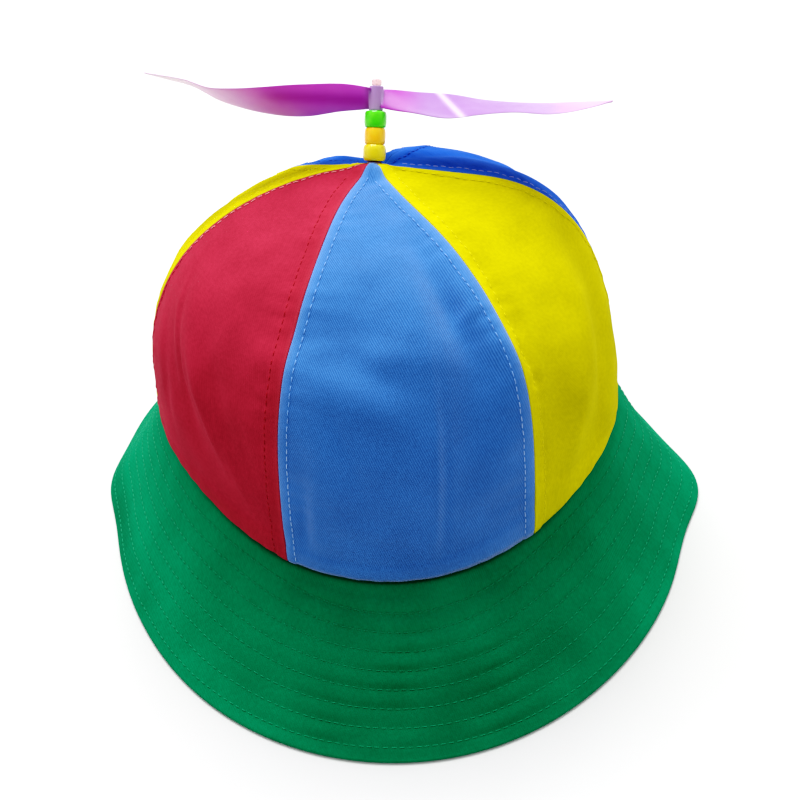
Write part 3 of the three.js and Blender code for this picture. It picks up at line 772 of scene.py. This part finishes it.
def line_beside_seam(points, normal, distance, stitch_distance):
    """Line over a panel at a distance from its first seam, from above the brim to near the peak."""
    wide = distance[:, -1] > STITCH_ROOM * stitch_distance
    rows = np.flatnonzero(wide)[1:]
    grids = (points, normal)
    return [np.array([on_line(stitch_distance, distance[i], grid[i]) for i in rows]) for grid in grids]


# Numbers of the Mix node's colour sockets
MIX_FIRST, MIX_SECOND, MIX_RESULT = 6, 7, 2


class Graph:
    """The nodes of a material or a world, in short calls."""

    def __init__(self, owner, shader="Principled BSDF"):
        owner.use_nodes = True
        self.owner = owner
        self.tree = owner.node_tree
        self.shader = self.tree.nodes[shader]

    def node(self, kind, inputs=(), **settings):
        """A new node. inputs pairs a socket's name or number with a value or an output."""
        node = self.tree.nodes.new("ShaderNode" + kind)
        for key, value in settings.items():
            setattr(node, key, value)
        for key, value in inputs:
            self.put(node.inputs[key], value)
        return node

    def put(self, socket, value):
        if isinstance(value, bpy.types.NodeSocket):
            self.tree.links.new(value, socket)
        else:
            socket.default_value = value

    def math(self, operation, *values):
        return self.node("Math", list(enumerate(values)), operation=operation).outputs[0]

    def scaled(self, value, factor, start=0.0):
        """A value times a factor, plus a start."""
        return self.math("MULTIPLY_ADD", value, factor, start)

    def spread(self, value, low, high, first=0.0, last=1.0):
        """A value between low and high, spread over first to last and held there."""
        names = ("Value", "From Min", "From Max", "To Min", "To Max")
        return self.node("MapRange", zip(names, (value, low, high, first, last))).outputs[0]

    def noise(self, vector, scale, detail=2.0):
        inputs = [("Vector", vector), ("Scale", scale), ("Detail", detail)]
        return self.node("TexNoise", inputs).outputs["Fac"]

    def mix(self, share, first, second, blend="MIX"):
        """Colour between two colours, or of one colour by another."""
        inputs = [("Factor", share), (MIX_FIRST, first), (MIX_SECOND, second)]
        return self.node("Mix", inputs, data_type="RGBA", blend_type=blend).outputs[MIX_RESULT]

    def toned(self, base, level):
        """A colour times a level of grey."""
        grey = self.node("CombineColor", [(0, level), (1, level), (2, level)]).outputs[0]
        return self.mix(1.0, base, grey, "MULTIPLY")

    def attribute(self, name):
        return self.node("Attribute", attribute_name=name).outputs["Fac"]

    def place(self):
        return self.node("TexCoord").outputs["Object"]

    def finish(self, base, **values):
        """Links the base colour and sets the shader's own values."""
        self.put(self.shader.inputs["Base Color"], base)
        for key, value in values.items():
            self.put(self.shader.inputs[key.replace("_", " ").title().replace("Ior", "IOR")], value)
        return self.owner

    def bump(self, height, distance, strength=1.0):
        inputs = [("Height", height), ("Distance", distance), ("Strength", strength)]
        self.put(self.shader.inputs["Normal"], self.node("Bump", inputs).outputs[0])


def material_graph(name):
    return Graph(bpy.data.materials.new(name))


def colour(rgb):
    return (*rgb, 1)


def twill(name, shades, contrast, fuzz_look):
    """Cotton twill: diagonal ribs of crossing yarns, fuzz, faint mottling, paler worn edges, and painted
    shade on the brim.
    """
    valley, ridge, worn, double_cloth_and_painted_shade = shades
    graph = material_graph(name)
    place = graph.node("UVMap", uv_map="weave").outputs[0]
    slant = (0, 0, math.radians(TWILL_SLANT))
    across_ribs = graph.node("Mapping", [("Vector", place), ("Rotation", slant)]).outputs[0]
    split = graph.node("SeparateXYZ", [("Vector", across_ribs)])
    wobble = graph.scaled(graph.noise(place, DRIFT_SCALE), 2.2)
    rib_turn = graph.math("ADD", graph.scaled(split.outputs["Y"], 2 * math.pi / TWILL_PITCH), wobble)
    rib = graph.scaled(graph.math("SINE", rib_turn), 0.5, 0.5)
    yarn_turn = graph.scaled(split.outputs["X"], 2 * math.pi / YARN_PITCH)
    yarn_turn = graph.math("ADD", yarn_turn, graph.scaled(rib_turn, 1.5))
    yarn = graph.scaled(graph.math("SINE", yarn_turn), 0.18, 0.82)
    fuzz = graph.noise(place, FUZZ_SCALE, 3.0)
    height = graph.math("ADD", graph.math("MULTIPLY", rib, yarn), graph.scaled(fuzz, 0.6, -0.3))
    shade = graph.scaled(height, 0.55 * contrast, 0.5 - 0.25 * contrast)
    base = graph.mix(graph.node("Clamp", [("Value", shade)]).outputs[0], colour(valley), colour(ridge))
    # The band beside a seam, which on the brim carries its painted shade
    base = graph.mix(graph.scaled(graph.attribute("band"), 0.7), base, colour(double_cloth_and_painted_shade))
    speck = graph.spread(graph.noise(place, SPECK_SCALE, 3.0), 0.3, 0.7, 0.93, 1.07)
    mottle = graph.spread(graph.noise(place, MOTTLE_SCALE, 3.0), 0.3, 0.7, 0.9, 1.1)
    base = graph.toned(base, graph.math("MULTIPLY", speck, mottle))
    worn_share = graph.math("MULTIPLY", graph.attribute("wear"), graph.spread(fuzz, 0.35, 0.65, 0.15, 0.7))
    base = graph.mix(worn_share, base, colour(worn))
    graph.bump(height, WEAVE_DEPTH, 0.35 + 0.25 * contrast)
    roughness = graph.scaled(fuzz, 0.14, 0.8)
    sheen, tint = fuzz_look
    return graph.finish(
        base, roughness=roughness, sheen_weight=sheen, sheen_roughness=0.5, sheen_tint=colour(tint),
        specular_ior_level=0.05,
    )


def thread(name, rgb, low_rgb):
    """Sewing thread, with the twist of its plies, and its other colour where its stored value is high."""
    graph = material_graph(name)
    split = graph.node("SeparateXYZ", [("Vector", graph.node("UVMap", uv_map="weave").outputs[0])])
    twist = graph.math("ADD", split.outputs["X"], graph.scaled(split.outputs["Y"], 1.6))
    ply = graph.scaled(graph.math("SINE", graph.scaled(twist, 4 * math.pi)), 0.5, 0.5)
    base = graph.mix(graph.attribute("wear"), colour(rgb), colour(low_rgb))
    base = graph.toned(base, graph.scaled(ply, 0.35, 0.85))
    graph.bump(ply, 0.00005, 0.6)
    roughness = graph.scaled(ply, 0.1, 0.6)
    return graph.finish(base, roughness=roughness, sheen_weight=0.1, specular_ior_level=0.25)


def bead_plastic(name, rgb, pale):
    """Glossy moulded plastic with a faint pearly swirl."""
    graph = material_graph(name)
    swirl = graph.spread(graph.noise(graph.place(), 260.0, 3.0), 0.42, 0.75)
    base = graph.mix(swirl, colour(rgb), colour(pale))
    fine = graph.noise(graph.place(), 1500.0)
    graph.bump(fine, 0.00004, 0.25)
    roughness = graph.scaled(fine, 0.12, 0.12)
    return graph.finish(base, roughness=roughness, coat_weight=0.5, coat_roughness=0.08)


def washer_plastic():
    """Dark red disc whose lower rim is pale."""
    graph = material_graph("washer_plastic")
    grain = graph.noise(graph.place(), 1200.0, 3.0)
    base = graph.mix(grain, colour((0.050, 0.004, 0.006)), colour((0.130, 0.009, 0.014)))
    base = graph.mix(graph.attribute("wear"), base, colour((0.560, 0.470, 0.430)))
    graph.bump(grain, 0.00005, 0.4)
    return graph.finish(base, roughness=graph.scaled(grain, 0.3, 0.3))


def post_plastic():
    """Clear pale pink plastic."""
    graph = material_graph("post_plastic")
    flow = graph.noise(graph.place(), 300.0)
    base = graph.mix(flow, colour((0.880, 0.480, 0.500)), colour((0.960, 0.760, 0.780)))
    fine = graph.noise(graph.place(), 900.0, 3.0)
    graph.bump(fine, 0.00004, 0.3)
    return graph.finish(base, roughness=graph.scaled(fine, 0.15, 0.15), ior=1.4, transmission_weight=0.75)


def propeller_plastic():
    """Thin clear violet plastic with painted light and shade: a magenta left blade, deep violet shade, a
    highlight streak, almost white tips.
    """
    graph = material_graph("propeller_plastic")
    flow = graph.noise(graph.place(), 90.0)
    base = graph.mix(flow, colour(LAVENDER), colour(LILAC))
    # Painted light and shade: magenta on the left blade, deep violet shade, and pale tips with a painted
    # highlight streak
    base = graph.mix(graph.attribute("magenta"), base, colour(MAGENTA))
    base = graph.mix(graph.attribute("deep"), base, colour(DEEP_VIOLET))
    fade = graph.math("ADD", graph.attribute("wear"), graph.scaled(flow, 0.16, -0.08))
    base = graph.mix(graph.node("Clamp", [("Value", fade)]).outputs[0], base, colour(TIP_WHITE))
    fine = graph.noise(graph.place(), 420.0, 3.0)
    graph.bump(fine, 0.00006, 0.3)
    roughness = graph.scaled(fine, 0.16, 0.26)
    return graph.finish(
        base, roughness=roughness, ior=1.45, specular_ior_level=0.15, transmission_weight=0.2,
    )


def make_cloth_materials():
    return {name: twill(name, shades, CONTRAST[name], FUZZ[name]) for name, shades in CLOTH.items()}


def panel_values(distance, height_up, first_stitch, last_stitch):
    """How worn each point of a panel is, and whether it lies over a seam's allowance."""
    to_end = distance[:, -1:] - distance
    edge = np.minimum(np.minimum(distance, to_end), height_up + HEM_WEAR_INSET)
    wear = np.exp(-edge / WEAR_REACH)
    first = smooth_step((first_stitch - distance) / BAND_BLUR + 0.5)
    last = smooth_step((last_stitch - to_end) / BAND_BLUR + 0.5)
    hem = smooth_step((HEM_ALLOWANCE - height_up) / HEM_BAND_BLUR)
    band = np.maximum(np.maximum(first, last), HEM_BAND_SHARE * hem)
    return wear, band


def make_stitch_rows(seed, panel, outer, normal, distance):
    """The rows of stitches beside both side seams of a panel."""
    name, first_stitch, last_stitch, slot = panel[0], panel[3], panel[4], panel[5]
    to_end = distance[:, -1:] - distance
    sides = [
        (outer, normal, distance, first_stitch),
        (outer[:, ::-1], normal[:, ::-1], to_end[:, ::-1], last_stitch),
    ]
    pieces = []
    for side, (points, out, away, stitch_distance) in enumerate(sides):
        line, line_out = line_beside_seam(points, out, away, stitch_distance)
        row = stitches(line, line_out, seed * 10 + side)
        pieces.append(stitch_piece(f"{name}_stitches_{side}", [row], slot))
    return pieces


def make_panel(seed, panel, cloth):
    """One panel of the crown: a closed cloth wall, with a stitch row beside each side seam."""
    name, start, end, first_stitch, last_stitch, slot = panel
    outer, normal, distance, height_up = panel_grid(start, end, first_stitch, last_stitch, seed)
    outer = outer + HAT_ORIGIN
    wall = LIP_WALL + (CROWN_WALL - LIP_WALL) * smooth_step(height_up / LIP_HEIGHT - 0.5)
    edge_drop = rounded_edge(np.minimum(distance, distance[:, -1:] - distance), EDGE_RADIUS)
    inner = outer - normal * (wall + edge_drop)[..., None]
    across = distance - distance[:, -1:] / 2
    weave = np.stack(np.broadcast_arrays(across, height_up), axis=-1) * MILLIMETRES
    wear, band = panel_values(distance, height_up, first_stitch, last_stitch)
    faces = wall_faces(*distance.shape)
    piece = new_piece(
        name + "_cloth", np.stack([outer, inner]), faces, cloth[slot], np.stack([weave, weave]),
        wear=np.stack([wear, wear]), band=np.stack([band, band]),
    )
    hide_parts(name)
    threads = make_stitch_rows(seed, panel, outer, normal, distance)


def brim_frame(azimuth):
    """Start and end of the brim's upper face at an azimuth, and its outward and upward directions."""
    out = outwards(azimuth)
    seam = seam_point(azimuth)
    start = seam - out * SEAM_TUCK
    start[..., 2] -= LIP_DROP + BRIM_CLEARANCE
    edge = brim_edge_point(azimuth)
    fall = np.arctan2(seam[..., 2], np.linalg.norm(edge[..., :2] - start[..., :2], axis=-1))
    up = np.zeros_like(out)
    up[..., 2] = 1
    normal = out * np.sin(fall)[..., None] + up * np.cos(fall)[..., None]
    centre = edge - out * (BRIM_WALL / 2) + up * (BRIM_WALL / 2)
    return start, centre + normal * (BRIM_WALL / 2), normal, out


def brim_relief(azimuth, from_edge, points):
    """Height of the quilting: the cloth puffs up between stitch rows, most at the front."""
    place = (from_edge - BRIM_FIRST_ROW) / BRIM_ROW_PITCH
    sewn = smooth_step((from_edge - 0.001) / 0.003) * smooth_step((BRIM_STITCH_ROWS + 0.4 - place) / 1.2)
    middle, half_width = RIPPLE_FRONT
    front = np.exp(-(((azimuth - middle) / half_width) ** 2))
    unevenness, wavelength, seed = RIPPLE_UNEVENNESS
    uneven = 1 + unevenness * cloth_noise(points, wavelength, seed)
    size = (RIPPLE_HEIGHT + FRONT_RIPPLE_HEIGHT * front) * uneven
    puff = np.abs(np.sin(math.pi * place)) ** RIPPLE_POWER - RIPPLE_MIDDLE
    wave = sum(height * cloth_noise(points, wavelength, seed) for height, wavelength, seed in BRIM_WAVES)
    return size * puff * sewn + wave * smooth_step(from_edge / 0.004)


def brim_azimuths():
    """Azimuth of each column of the brim, between -180 and 180 degrees."""
    azimuth = np.arange(BRIM_COLUMNS)[:, None] / BRIM_COLUMNS * 360
    return np.where(azimuth > 180, azimuth - 360, azimuth)


def brim_sections():
    """Points round each section of the brim, their normals on the upper face, and where they lie."""
    azimuth = brim_azimuths()
    start, end, normal, out = brim_frame(azimuth)
    down = np.linspace(0, 1, BRIM_FACE_ROWS + 1)[None, :]
    length = np.linalg.norm(end - start, axis=-1)
    sag = BRIM_SAG * np.sin(math.pi * down)
    face = start + (end - start) * down[..., None] - normal * sag[..., None]
    from_edge = (1 - down) * length
    hem = smooth_step(down * length / BRIM_CALM_REACH)
    upper = face + normal * (brim_relief(azimuth, from_edge, face) * hem)[..., None]
    turn = (np.arange(1, BRIM_END_STEPS) / BRIM_END_STEPS * math.pi)[None, :, None]
    along = unit(end - start)
    middle = end - normal * (BRIM_WALL / 2)
    rounded = middle + (normal * np.cos(turn) + along * np.sin(turn)) * (BRIM_WALL / 2)
    back = np.linspace(1, 0.03, BRIM_INNER_ROWS)[None, :]
    sag_back = BRIM_SAG * np.sin(math.pi * back)
    lower = start + (end - start) * back[..., None] - normal * (sag_back + BRIM_WALL)[..., None]
    rise = np.zeros_like(start)
    rise[..., 2] = FLANGE_HEIGHT + LIP_DROP
    inner_foot = start - out * CROWN_WALL
    flange = np.concatenate([inner_foot, inner_foot + rise, start + rise, start + rise * 0.5], axis=1)
    return np.concatenate([upper, rounded, lower, flange], axis=1), normal, from_edge, upper


def brim_row(from_edge, upper, normal, away):
    """A line all round the brim at a distance from its edge, and the direction out of the cloth."""
    line = np.array([on_line(-away, -from_edge[i], upper[i]) for i in range(BRIM_COLUMNS)])
    return np.concatenate([line, line[:1]]), np.concatenate([normal[:, 0], normal[:1, 0]])


def brim_painted_shade(from_edge):
    """How dark the painted shade on the brim's cloth is: most in the painted shadow line under the crown's
    hem, less at front and left.
    """
    azimuth = brim_azimuths()
    middle, half_width, width, blur = HEM_PAINTED_SHADOW
    shade = smooth_step((from_edge - from_edge[:, :1] + width) / blur)
    shade = shade * np.exp(-(((azimuth - middle) / half_width) ** 4))
    for middle, half_width, reach, blur, strength in BRIM_PAINTED_SHADES:
        place = np.exp(-(((azimuth - middle) / half_width) ** 2)) * smooth_step((reach - from_edge) / blur)
        shade = np.maximum(shade, strength * place)
    return shade


def make_brim(cloth):
    """The brim: a closed wall of sewn cloth with eight rows of stitches."""
    sections, normal, from_edge, upper = brim_sections()
    sections = sections + HAT_ORIGIN
    upper = upper + HAT_ORIGIN
    wear = np.zeros(sections.shape[:2])
    wear[:, :BRIM_FACE_ROWS + 1] = RIM_WEAR * np.exp(-from_edge / RIM_WEAR_REACH)
    band = np.zeros_like(wear)
    # The band holds painted shade: a painted shadow line under the crown's hem and painted shade at front
    # and left
    band[:, :BRIM_FACE_ROWS + 1] = brim_painted_shade(from_edge)
    faces = ring_faces(*sections.shape[:2])
    weave = sections[..., :2] * MILLIMETRES
    piece = new_piece("brim_cloth", sections, faces, cloth["cloth_green"], weave, wear=wear, band=band)
    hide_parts("brim")
    aways = BRIM_FIRST_ROW + np.arange(BRIM_STITCH_ROWS) * BRIM_ROW_PITCH
    lines = [brim_row(from_edge, upper, normal, away) for away in aways]
    rows = [stitches(*line, BRIM_SEED + k) for k, line in enumerate(lines)]
    stitched = stitch_piece("brim_stitches", rows, "cloth_green")


def stack_matrix():
    """From the post's own frame, with the peak at its origin and +Z along the post, to the row's."""
    turn = Vector((0, 0, 1)).rotation_difference(Vector(POST_DIRECTION))
    place = Vector(PEAK + HAT_ORIGIN) + Vector((0, 0, SEAM_GAP))
    return Matrix.Translation(place) @ turn.to_matrix().to_4x4()


STACK = np.array(stack_matrix())


def on_post(points):
    return np.asarray(points) @ STACK[:3, :3].T + STACK[:3, 3]


def revolved(outline, sides):
    """Points and faces of a closed outline of radius and height turned round the post's axis."""
    outline = np.array(outline)
    turn = np.arange(sides) / sides * 2 * math.pi
    points = np.stack([
        outline[None, :, 0] * np.cos(turn)[:, None],
        outline[None, :, 0] * np.sin(turn)[:, None],
        np.broadcast_to(outline[None, :, 1], (sides, len(outline))),
    ], axis=-1)
    return points, ring_faces(sides, len(outline))[:, ::-1]


def turned(name, outline, material, node, **values):
    """Piece turned on the post's axis, in place of a solid."""
    points, faces = revolved(outline, 64)
    values = {key: np.broadcast_to(value, points.shape[:2]) for key, value in values.items()}
    piece = new_piece(name, on_post(points), faces, material, **values)
    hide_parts(node)


def soft_corners(corners, radius, steps=5):
    """Closed outline with its corners rounded."""
    corners = np.array(corners, float)
    outline = []
    for before, corner, after in zip(np.roll(corners, 1, axis=0), corners, np.roll(corners, -1, axis=0)):
        size = min(radius, np.linalg.norm(before - corner) * 0.45, np.linalg.norm(after - corner) * 0.45)
        first = corner + unit(before - corner) * size
        last = corner + unit(after - corner) * size
        for share in np.linspace(0, 1, steps):
            outline.append((1 - share) ** 2 * first + 2 * share * (1 - share) * corner + share**2 * last)
    return outline


def bead_outline(base, height, radius, flat_radius):
    """Barrel bead with flat ends, full shoulders and a straight bore."""
    bore = [POST_HOLE_RADIUS, POST_HOLE_RADIUS + BEAD_BORE_LIP]
    outline = [(radius_in, base) for radius_in in bore]
    for angle in np.linspace(0, math.pi, 25):
        swell = math.sin(angle) ** BEAD_BELLY_POWER
        level = math.copysign(abs(math.cos(angle)) ** BEAD_SHOULDER_POWER, math.cos(angle))
        outline.append((flat_radius + (radius - flat_radius) * swell, base + height * (1 - level) / 2))
    return outline + [(radius_in, base + height) for radius_in in bore[::-1]]


def make_beads():
    for place, (name, radius, flat_radius, rgb, pale) in enumerate(BEADS):
        base = BEAD_BASE + place * BEAD_PITCH
        outline = bead_outline(base, BEAD_PITCH - BEAD_GAP, radius, flat_radius)
        turned(name + "_smooth", outline, bead_plastic(name, rgb, pale), name)


def make_washer():
    """The disc under the beads, with a pale rim where it meets the cloth."""
    top = WASHER_BASE + WASHER_THICKNESS
    corners = [
        (POST_HOLE_RADIUS, WASHER_BASE), (WASHER_RADIUS, WASHER_BASE),
        (WASHER_RADIUS, top), (POST_HOLE_RADIUS, top),
    ]
    outline = soft_corners(corners, WASHER_EDGE)
    rim = [1.0 if height < WASHER_BASE + WASHER_PALE_RIM else 0.0 for _, height in outline]
    turned("washer_smooth", outline, washer_plastic(), "washer", wear=rim)


def make_post():
    """The rod, with a plate under the cloth and a small head above the hub."""
    head_base = HUB_BASE + HUB_HEIGHT + STACK_GAP
    foot_base = POST_FOOT_TOP - POST_FOOT_THICKNESS
    head_top = head_base + POST_HEAD_HEIGHT
    corners = [
        (CORE_RADIUS, foot_base), (POST_FOOT_RADIUS, foot_base), (POST_FOOT_RADIUS, POST_FOOT_TOP),
        (POST_RADIUS, POST_FOOT_TOP), (POST_RADIUS, head_base), (POST_HEAD_RADIUS, head_base),
        (POST_HEAD_RADIUS, head_top), (CORE_RADIUS, head_top),
    ]
    turned("post_smooth", soft_corners(corners, POST_EDGE), post_plastic(), "post")


def blade_points(stations, sections=72, around_points=28):
    """Rings of points along a thin blade with soft edges, from its root to its tip."""
    at = np.array(stations["at"])
    share = np.linspace(0, 1, sections)
    dense = at[0] + (at[-1] - at[0]) * share
    value = {key: smooth_curve(at, stations[key], dense) for key in ("chord", "pitch", "rise")}
    past_round = ((dense - 1) / BLADE_TIP_SHARE + 1).clip(0, 1)
    tip = np.sqrt(np.clip(1 - past_round**2, 0.02, 1))
    half = value["chord"] * tip * BLADE_CHORD / 2
    pitch = np.radians(value["pitch"])
    turn = np.arange(around_points) / around_points * 2 * math.pi
    across = np.sign(np.cos(turn)) * np.abs(np.cos(turn)) ** BLADE_EDGE_POWER
    through = 0.5 * np.sin(turn) + BLADE_CAMBER * (1 - across**2)
    thickness = BLADE_THICKNESS * (BLADE_THINNEST + (1 - BLADE_THINNEST) * tip * (1 - 0.5 * share))
    y = across[None, :] * half[:, None]
    z = through[None, :] * thickness[:, None]
    cos, sin = np.cos(pitch)[:, None], np.sin(pitch)[:, None]
    x = np.broadcast_to((dense * BLADE_LENGTH)[:, None], y.shape)
    rise = (value["rise"] * BLADE_LENGTH)[:, None]
    return np.stack([x, y * cos - z * sin, y * sin + z * cos + rise], axis=-1)


def smooth_curve(places, values, at):
    """Smooth curve through values, which doesn't overshoot at the ends."""
    places, values = np.array(places, float), np.array(values, float)
    slopes = np.gradient(values, places)
    row = np.clip(np.searchsorted(places, at, side="right") - 1, 0, len(places) - 2)
    step = places[row + 1] - places[row]
    t = (at - places[row]) / step
    start = values[row] * (2 * t**3 - 3 * t**2 + 1) + values[row + 1] * (3 * t**2 - 2 * t**3)
    return start + step * (slopes[row] * (t**3 - 2 * t**2 + t) + slopes[row + 1] * (t**3 - t**2))


def loft(name, rings):
    """Closed mesh object through rings of points, capped at both ends."""
    count, size = rings.shape[:2]
    at = np.arange(count * size).reshape(count, size)
    beside = np.roll(at, -1, axis=1)
    band = np.stack([at[:-1], beside[:-1], beside[1:], at[1:]], axis=-1).reshape(-1, 4)
    return bare_mesh(name, rings, [*band, at[0][::-1], at[-1]])


def hub_tube():
    """The hub's tube, in the propeller's own frame."""
    corners = [
        (POST_HOLE_RADIUS, HUB_BASE), (HUB_RADIUS, HUB_BASE),
        (HUB_RADIUS, HUB_BASE + HUB_HEIGHT), (POST_HOLE_RADIUS, HUB_BASE + HUB_HEIGHT),
    ]
    return bare_mesh("propeller_smooth", *revolved(soft_corners(corners, HUB_EDGE), 48))


def join(piece, other):
    """Joins another closed body to a piece and removes it."""
    modifier = piece.modifiers.new("join", "BOOLEAN")
    modifier.operation = "UNION"
    modifier.solver = "EXACT"
    modifier.object = other
    graph = bpy.context.evaluated_depsgraph_get()
    mesh = bpy.data.meshes.new_from_object(piece.evaluated_get(graph))
    piece.modifiers.clear()
    piece.data = mesh
    bpy.data.objects.remove(other)


def store_tints(mesh):
    """Stores painted light and shade at each point of the propeller: pale tips, a painted highlight
    streak, a paler hub, magenta painted on the left blade for the light seen through it and at the right
    blade's end, and deep violet painted shade.

    along is the place along the blades, from -1 at the left tip to 1 at the right one, and
    upright runs from -1 to 1 over the hub's height.
    """
    points = np.zeros(len(mesh.vertices) * 3)
    mesh.vertices.foreach_get("co", points)
    points = points.reshape(-1, 3)
    along = points[:, 0] / BLADE_LENGTH
    upright = (points[:, 2] - HUB_BASE - HUB_HEIGHT / 2) / (HUB_HEIGHT / 2)
    left = ramp(-along, *LEFT_MAGENTA)
    tip = np.where(along < 0, ramp(-along, *LEFT_PALE), 0.5 * ramp(along, *RIGHT_PALE))
    # Painted highlight: a pale streak across the right blade
    streak_at, slant, half_width = STREAK
    streak = np.exp(-(((along - streak_at + slant * upright) / half_width) ** 2))
    from_axis = np.hypot(points[:, 0], points[:, 1]) / HUB_RADIUS
    hub = ramp(from_axis, 1.15, -0.1)
    # Pale tips, the painted highlight streak and a paler hub
    store(mesh, "wear", np.maximum(np.maximum(tip, 0.8 * streak), 0.25 * hub))
    # Painted light: magenta over the left blade, more towards its upper rim
    right_end = 0.35 * ramp(along, *RIGHT_MAGENTA)
    store(mesh, "magenta", np.maximum(left * (0.75 + 0.25 * upright), right_end))
    # Painted shade: deep violet across the middle of the left blade and near the hub on the right one
    middle = np.exp(-(((upright + 0.15) / 0.5) ** 2)) * ramp(-along, *LEFT_DEEP)
    near_right = ramp(along, *RIGHT_DEEP) * (1 - left) * (1 - hub)
    store(mesh, "deep", 0.8 * np.maximum(left * middle, near_right))


def make_propeller():
    """Hub tube and two blades in one clear violet body, with painted light and shade, paler towards the
    tips.
    """
    middle = np.array([0, 0, HUB_BASE + HUB_HEIGHT / 2])
    piece = hub_tube()
    for stations, side in ((RIGHT_BLADE, 1), (LEFT_BLADE, -1)):
        rings = blade_points(stations) * np.array([side, side, 1]) + middle
        join(piece, loft("blade", rings))
    store_tints(piece.data)
    piece.data.transform(Matrix(STACK.tolist()) @ Matrix.Rotation(PROPELLER_TURN, 4, "Z"))
    piece.data.shade_smooth()
    piece.data.materials.clear()
    piece.data.materials.append(propeller_plastic())
    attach(piece, "propeller")
    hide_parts("propeller")


def make_camera():
    """The photograph's camera, which is turned a little on its own axis."""
    place, target = Vector(CAMERA_PLACE + HAT_ORIGIN), Vector(CAMERA_TARGET + HAT_ORIGIN)
    back = (place - target).normalized()
    right = Vector((0, 0, 1)).cross(back).normalized()
    up = back.cross(right)
    turned_right = right * math.cos(CAMERA_ROLL) + up * math.sin(CAMERA_ROLL)
    turned_up = up * math.cos(CAMERA_ROLL) - right * math.sin(CAMERA_ROLL)
    data = bpy.data.cameras.new("camera")
    data.lens = CAMERA_LENS
    data.sensor_width = CAMERA_SENSOR
    camera = bpy.data.objects.new("camera", data)
    turn = Matrix((turned_right, turned_up, back)).transposed()
    camera.matrix_world = Matrix.Translation(place) @ turn.to_4x4()
    bpy.context.scene.collection.objects.link(camera)
    bpy.context.scene.camera = camera


def make_floor():
    """A wide pale floor."""
    graph = material_graph("floor_pale")
    base = graph.mix(graph.noise(graph.place(), 3.0), colour(FLOOR_GREY), colour(FLOOR_PALE))
    material = graph.finish(base, roughness=0.9, specular_ior_level=0.2)
    turn = np.arange(96) / 96 * 2 * math.pi
    points = np.stack([np.cos(turn), np.sin(turn), np.zeros_like(turn)], axis=-1) * FLOOR_RADIUS
    floor = bare_mesh("floor", points, [range(96)])
    floor.data.materials.append(material)


def make_light():
    """Square soft light above and behind the hat, which faces it."""
    data = bpy.data.lights.new("light_above", "AREA")
    data.size = TOP_LIGHT_SIZE
    data.energy = TOP_LIGHT_POWER
    light = bpy.data.objects.new("light_above", data)
    light.location = TOP_LIGHT_PLACE
    light.rotation_mode = "QUATERNION"
    away = Vector(TOP_LIGHT_PLACE) - Vector(TOP_LIGHT_TARGET)
    light.rotation_quaternion = away.to_track_quat("Z", "Y")
    bpy.context.scene.collection.objects.link(light)


def make_sky():
    """Soft light from all round, as in a white tent that is open towards the front.

    Its level grows from SKY_FRONT straight ahead of the hat to SKY_LEVEL at its side and behind.
    """
    world = bpy.data.worlds.new("studio")
    graph = Graph(world, "Background")
    split = graph.node("SeparateXYZ", [("Vector", graph.node("TexCoord").outputs["Generated"])])
    level = graph.spread(split.outputs["Y"], -1.0, 0.0, SKY_FRONT, SKY_LEVEL)
    graph.put(graph.shader.inputs["Strength"], level)
    graph.put(graph.shader.inputs["Color"], (1, 1, 1, 1))
    bpy.context.scene.world = world


def set_tones():
    """Gives the picture the photograph's contrast."""
    view = bpy.context.scene.view_settings
    view.view_transform = "Standard"
    view.use_curve_mapping = True
    points = view.curve_mapping.curves[3].points
    for place in TONES:
        points.new(*place)
    view.curve_mapping.update()


make_camera()
make_floor()
make_sky()
make_light()
set_tones()
cloth = make_cloth_materials()
for seed, panel in enumerate(PANELS):
    make_panel(seed + 1, panel, cloth)
make_brim(cloth)
make_washer()
make_beads()
make_post()
make_propeller()
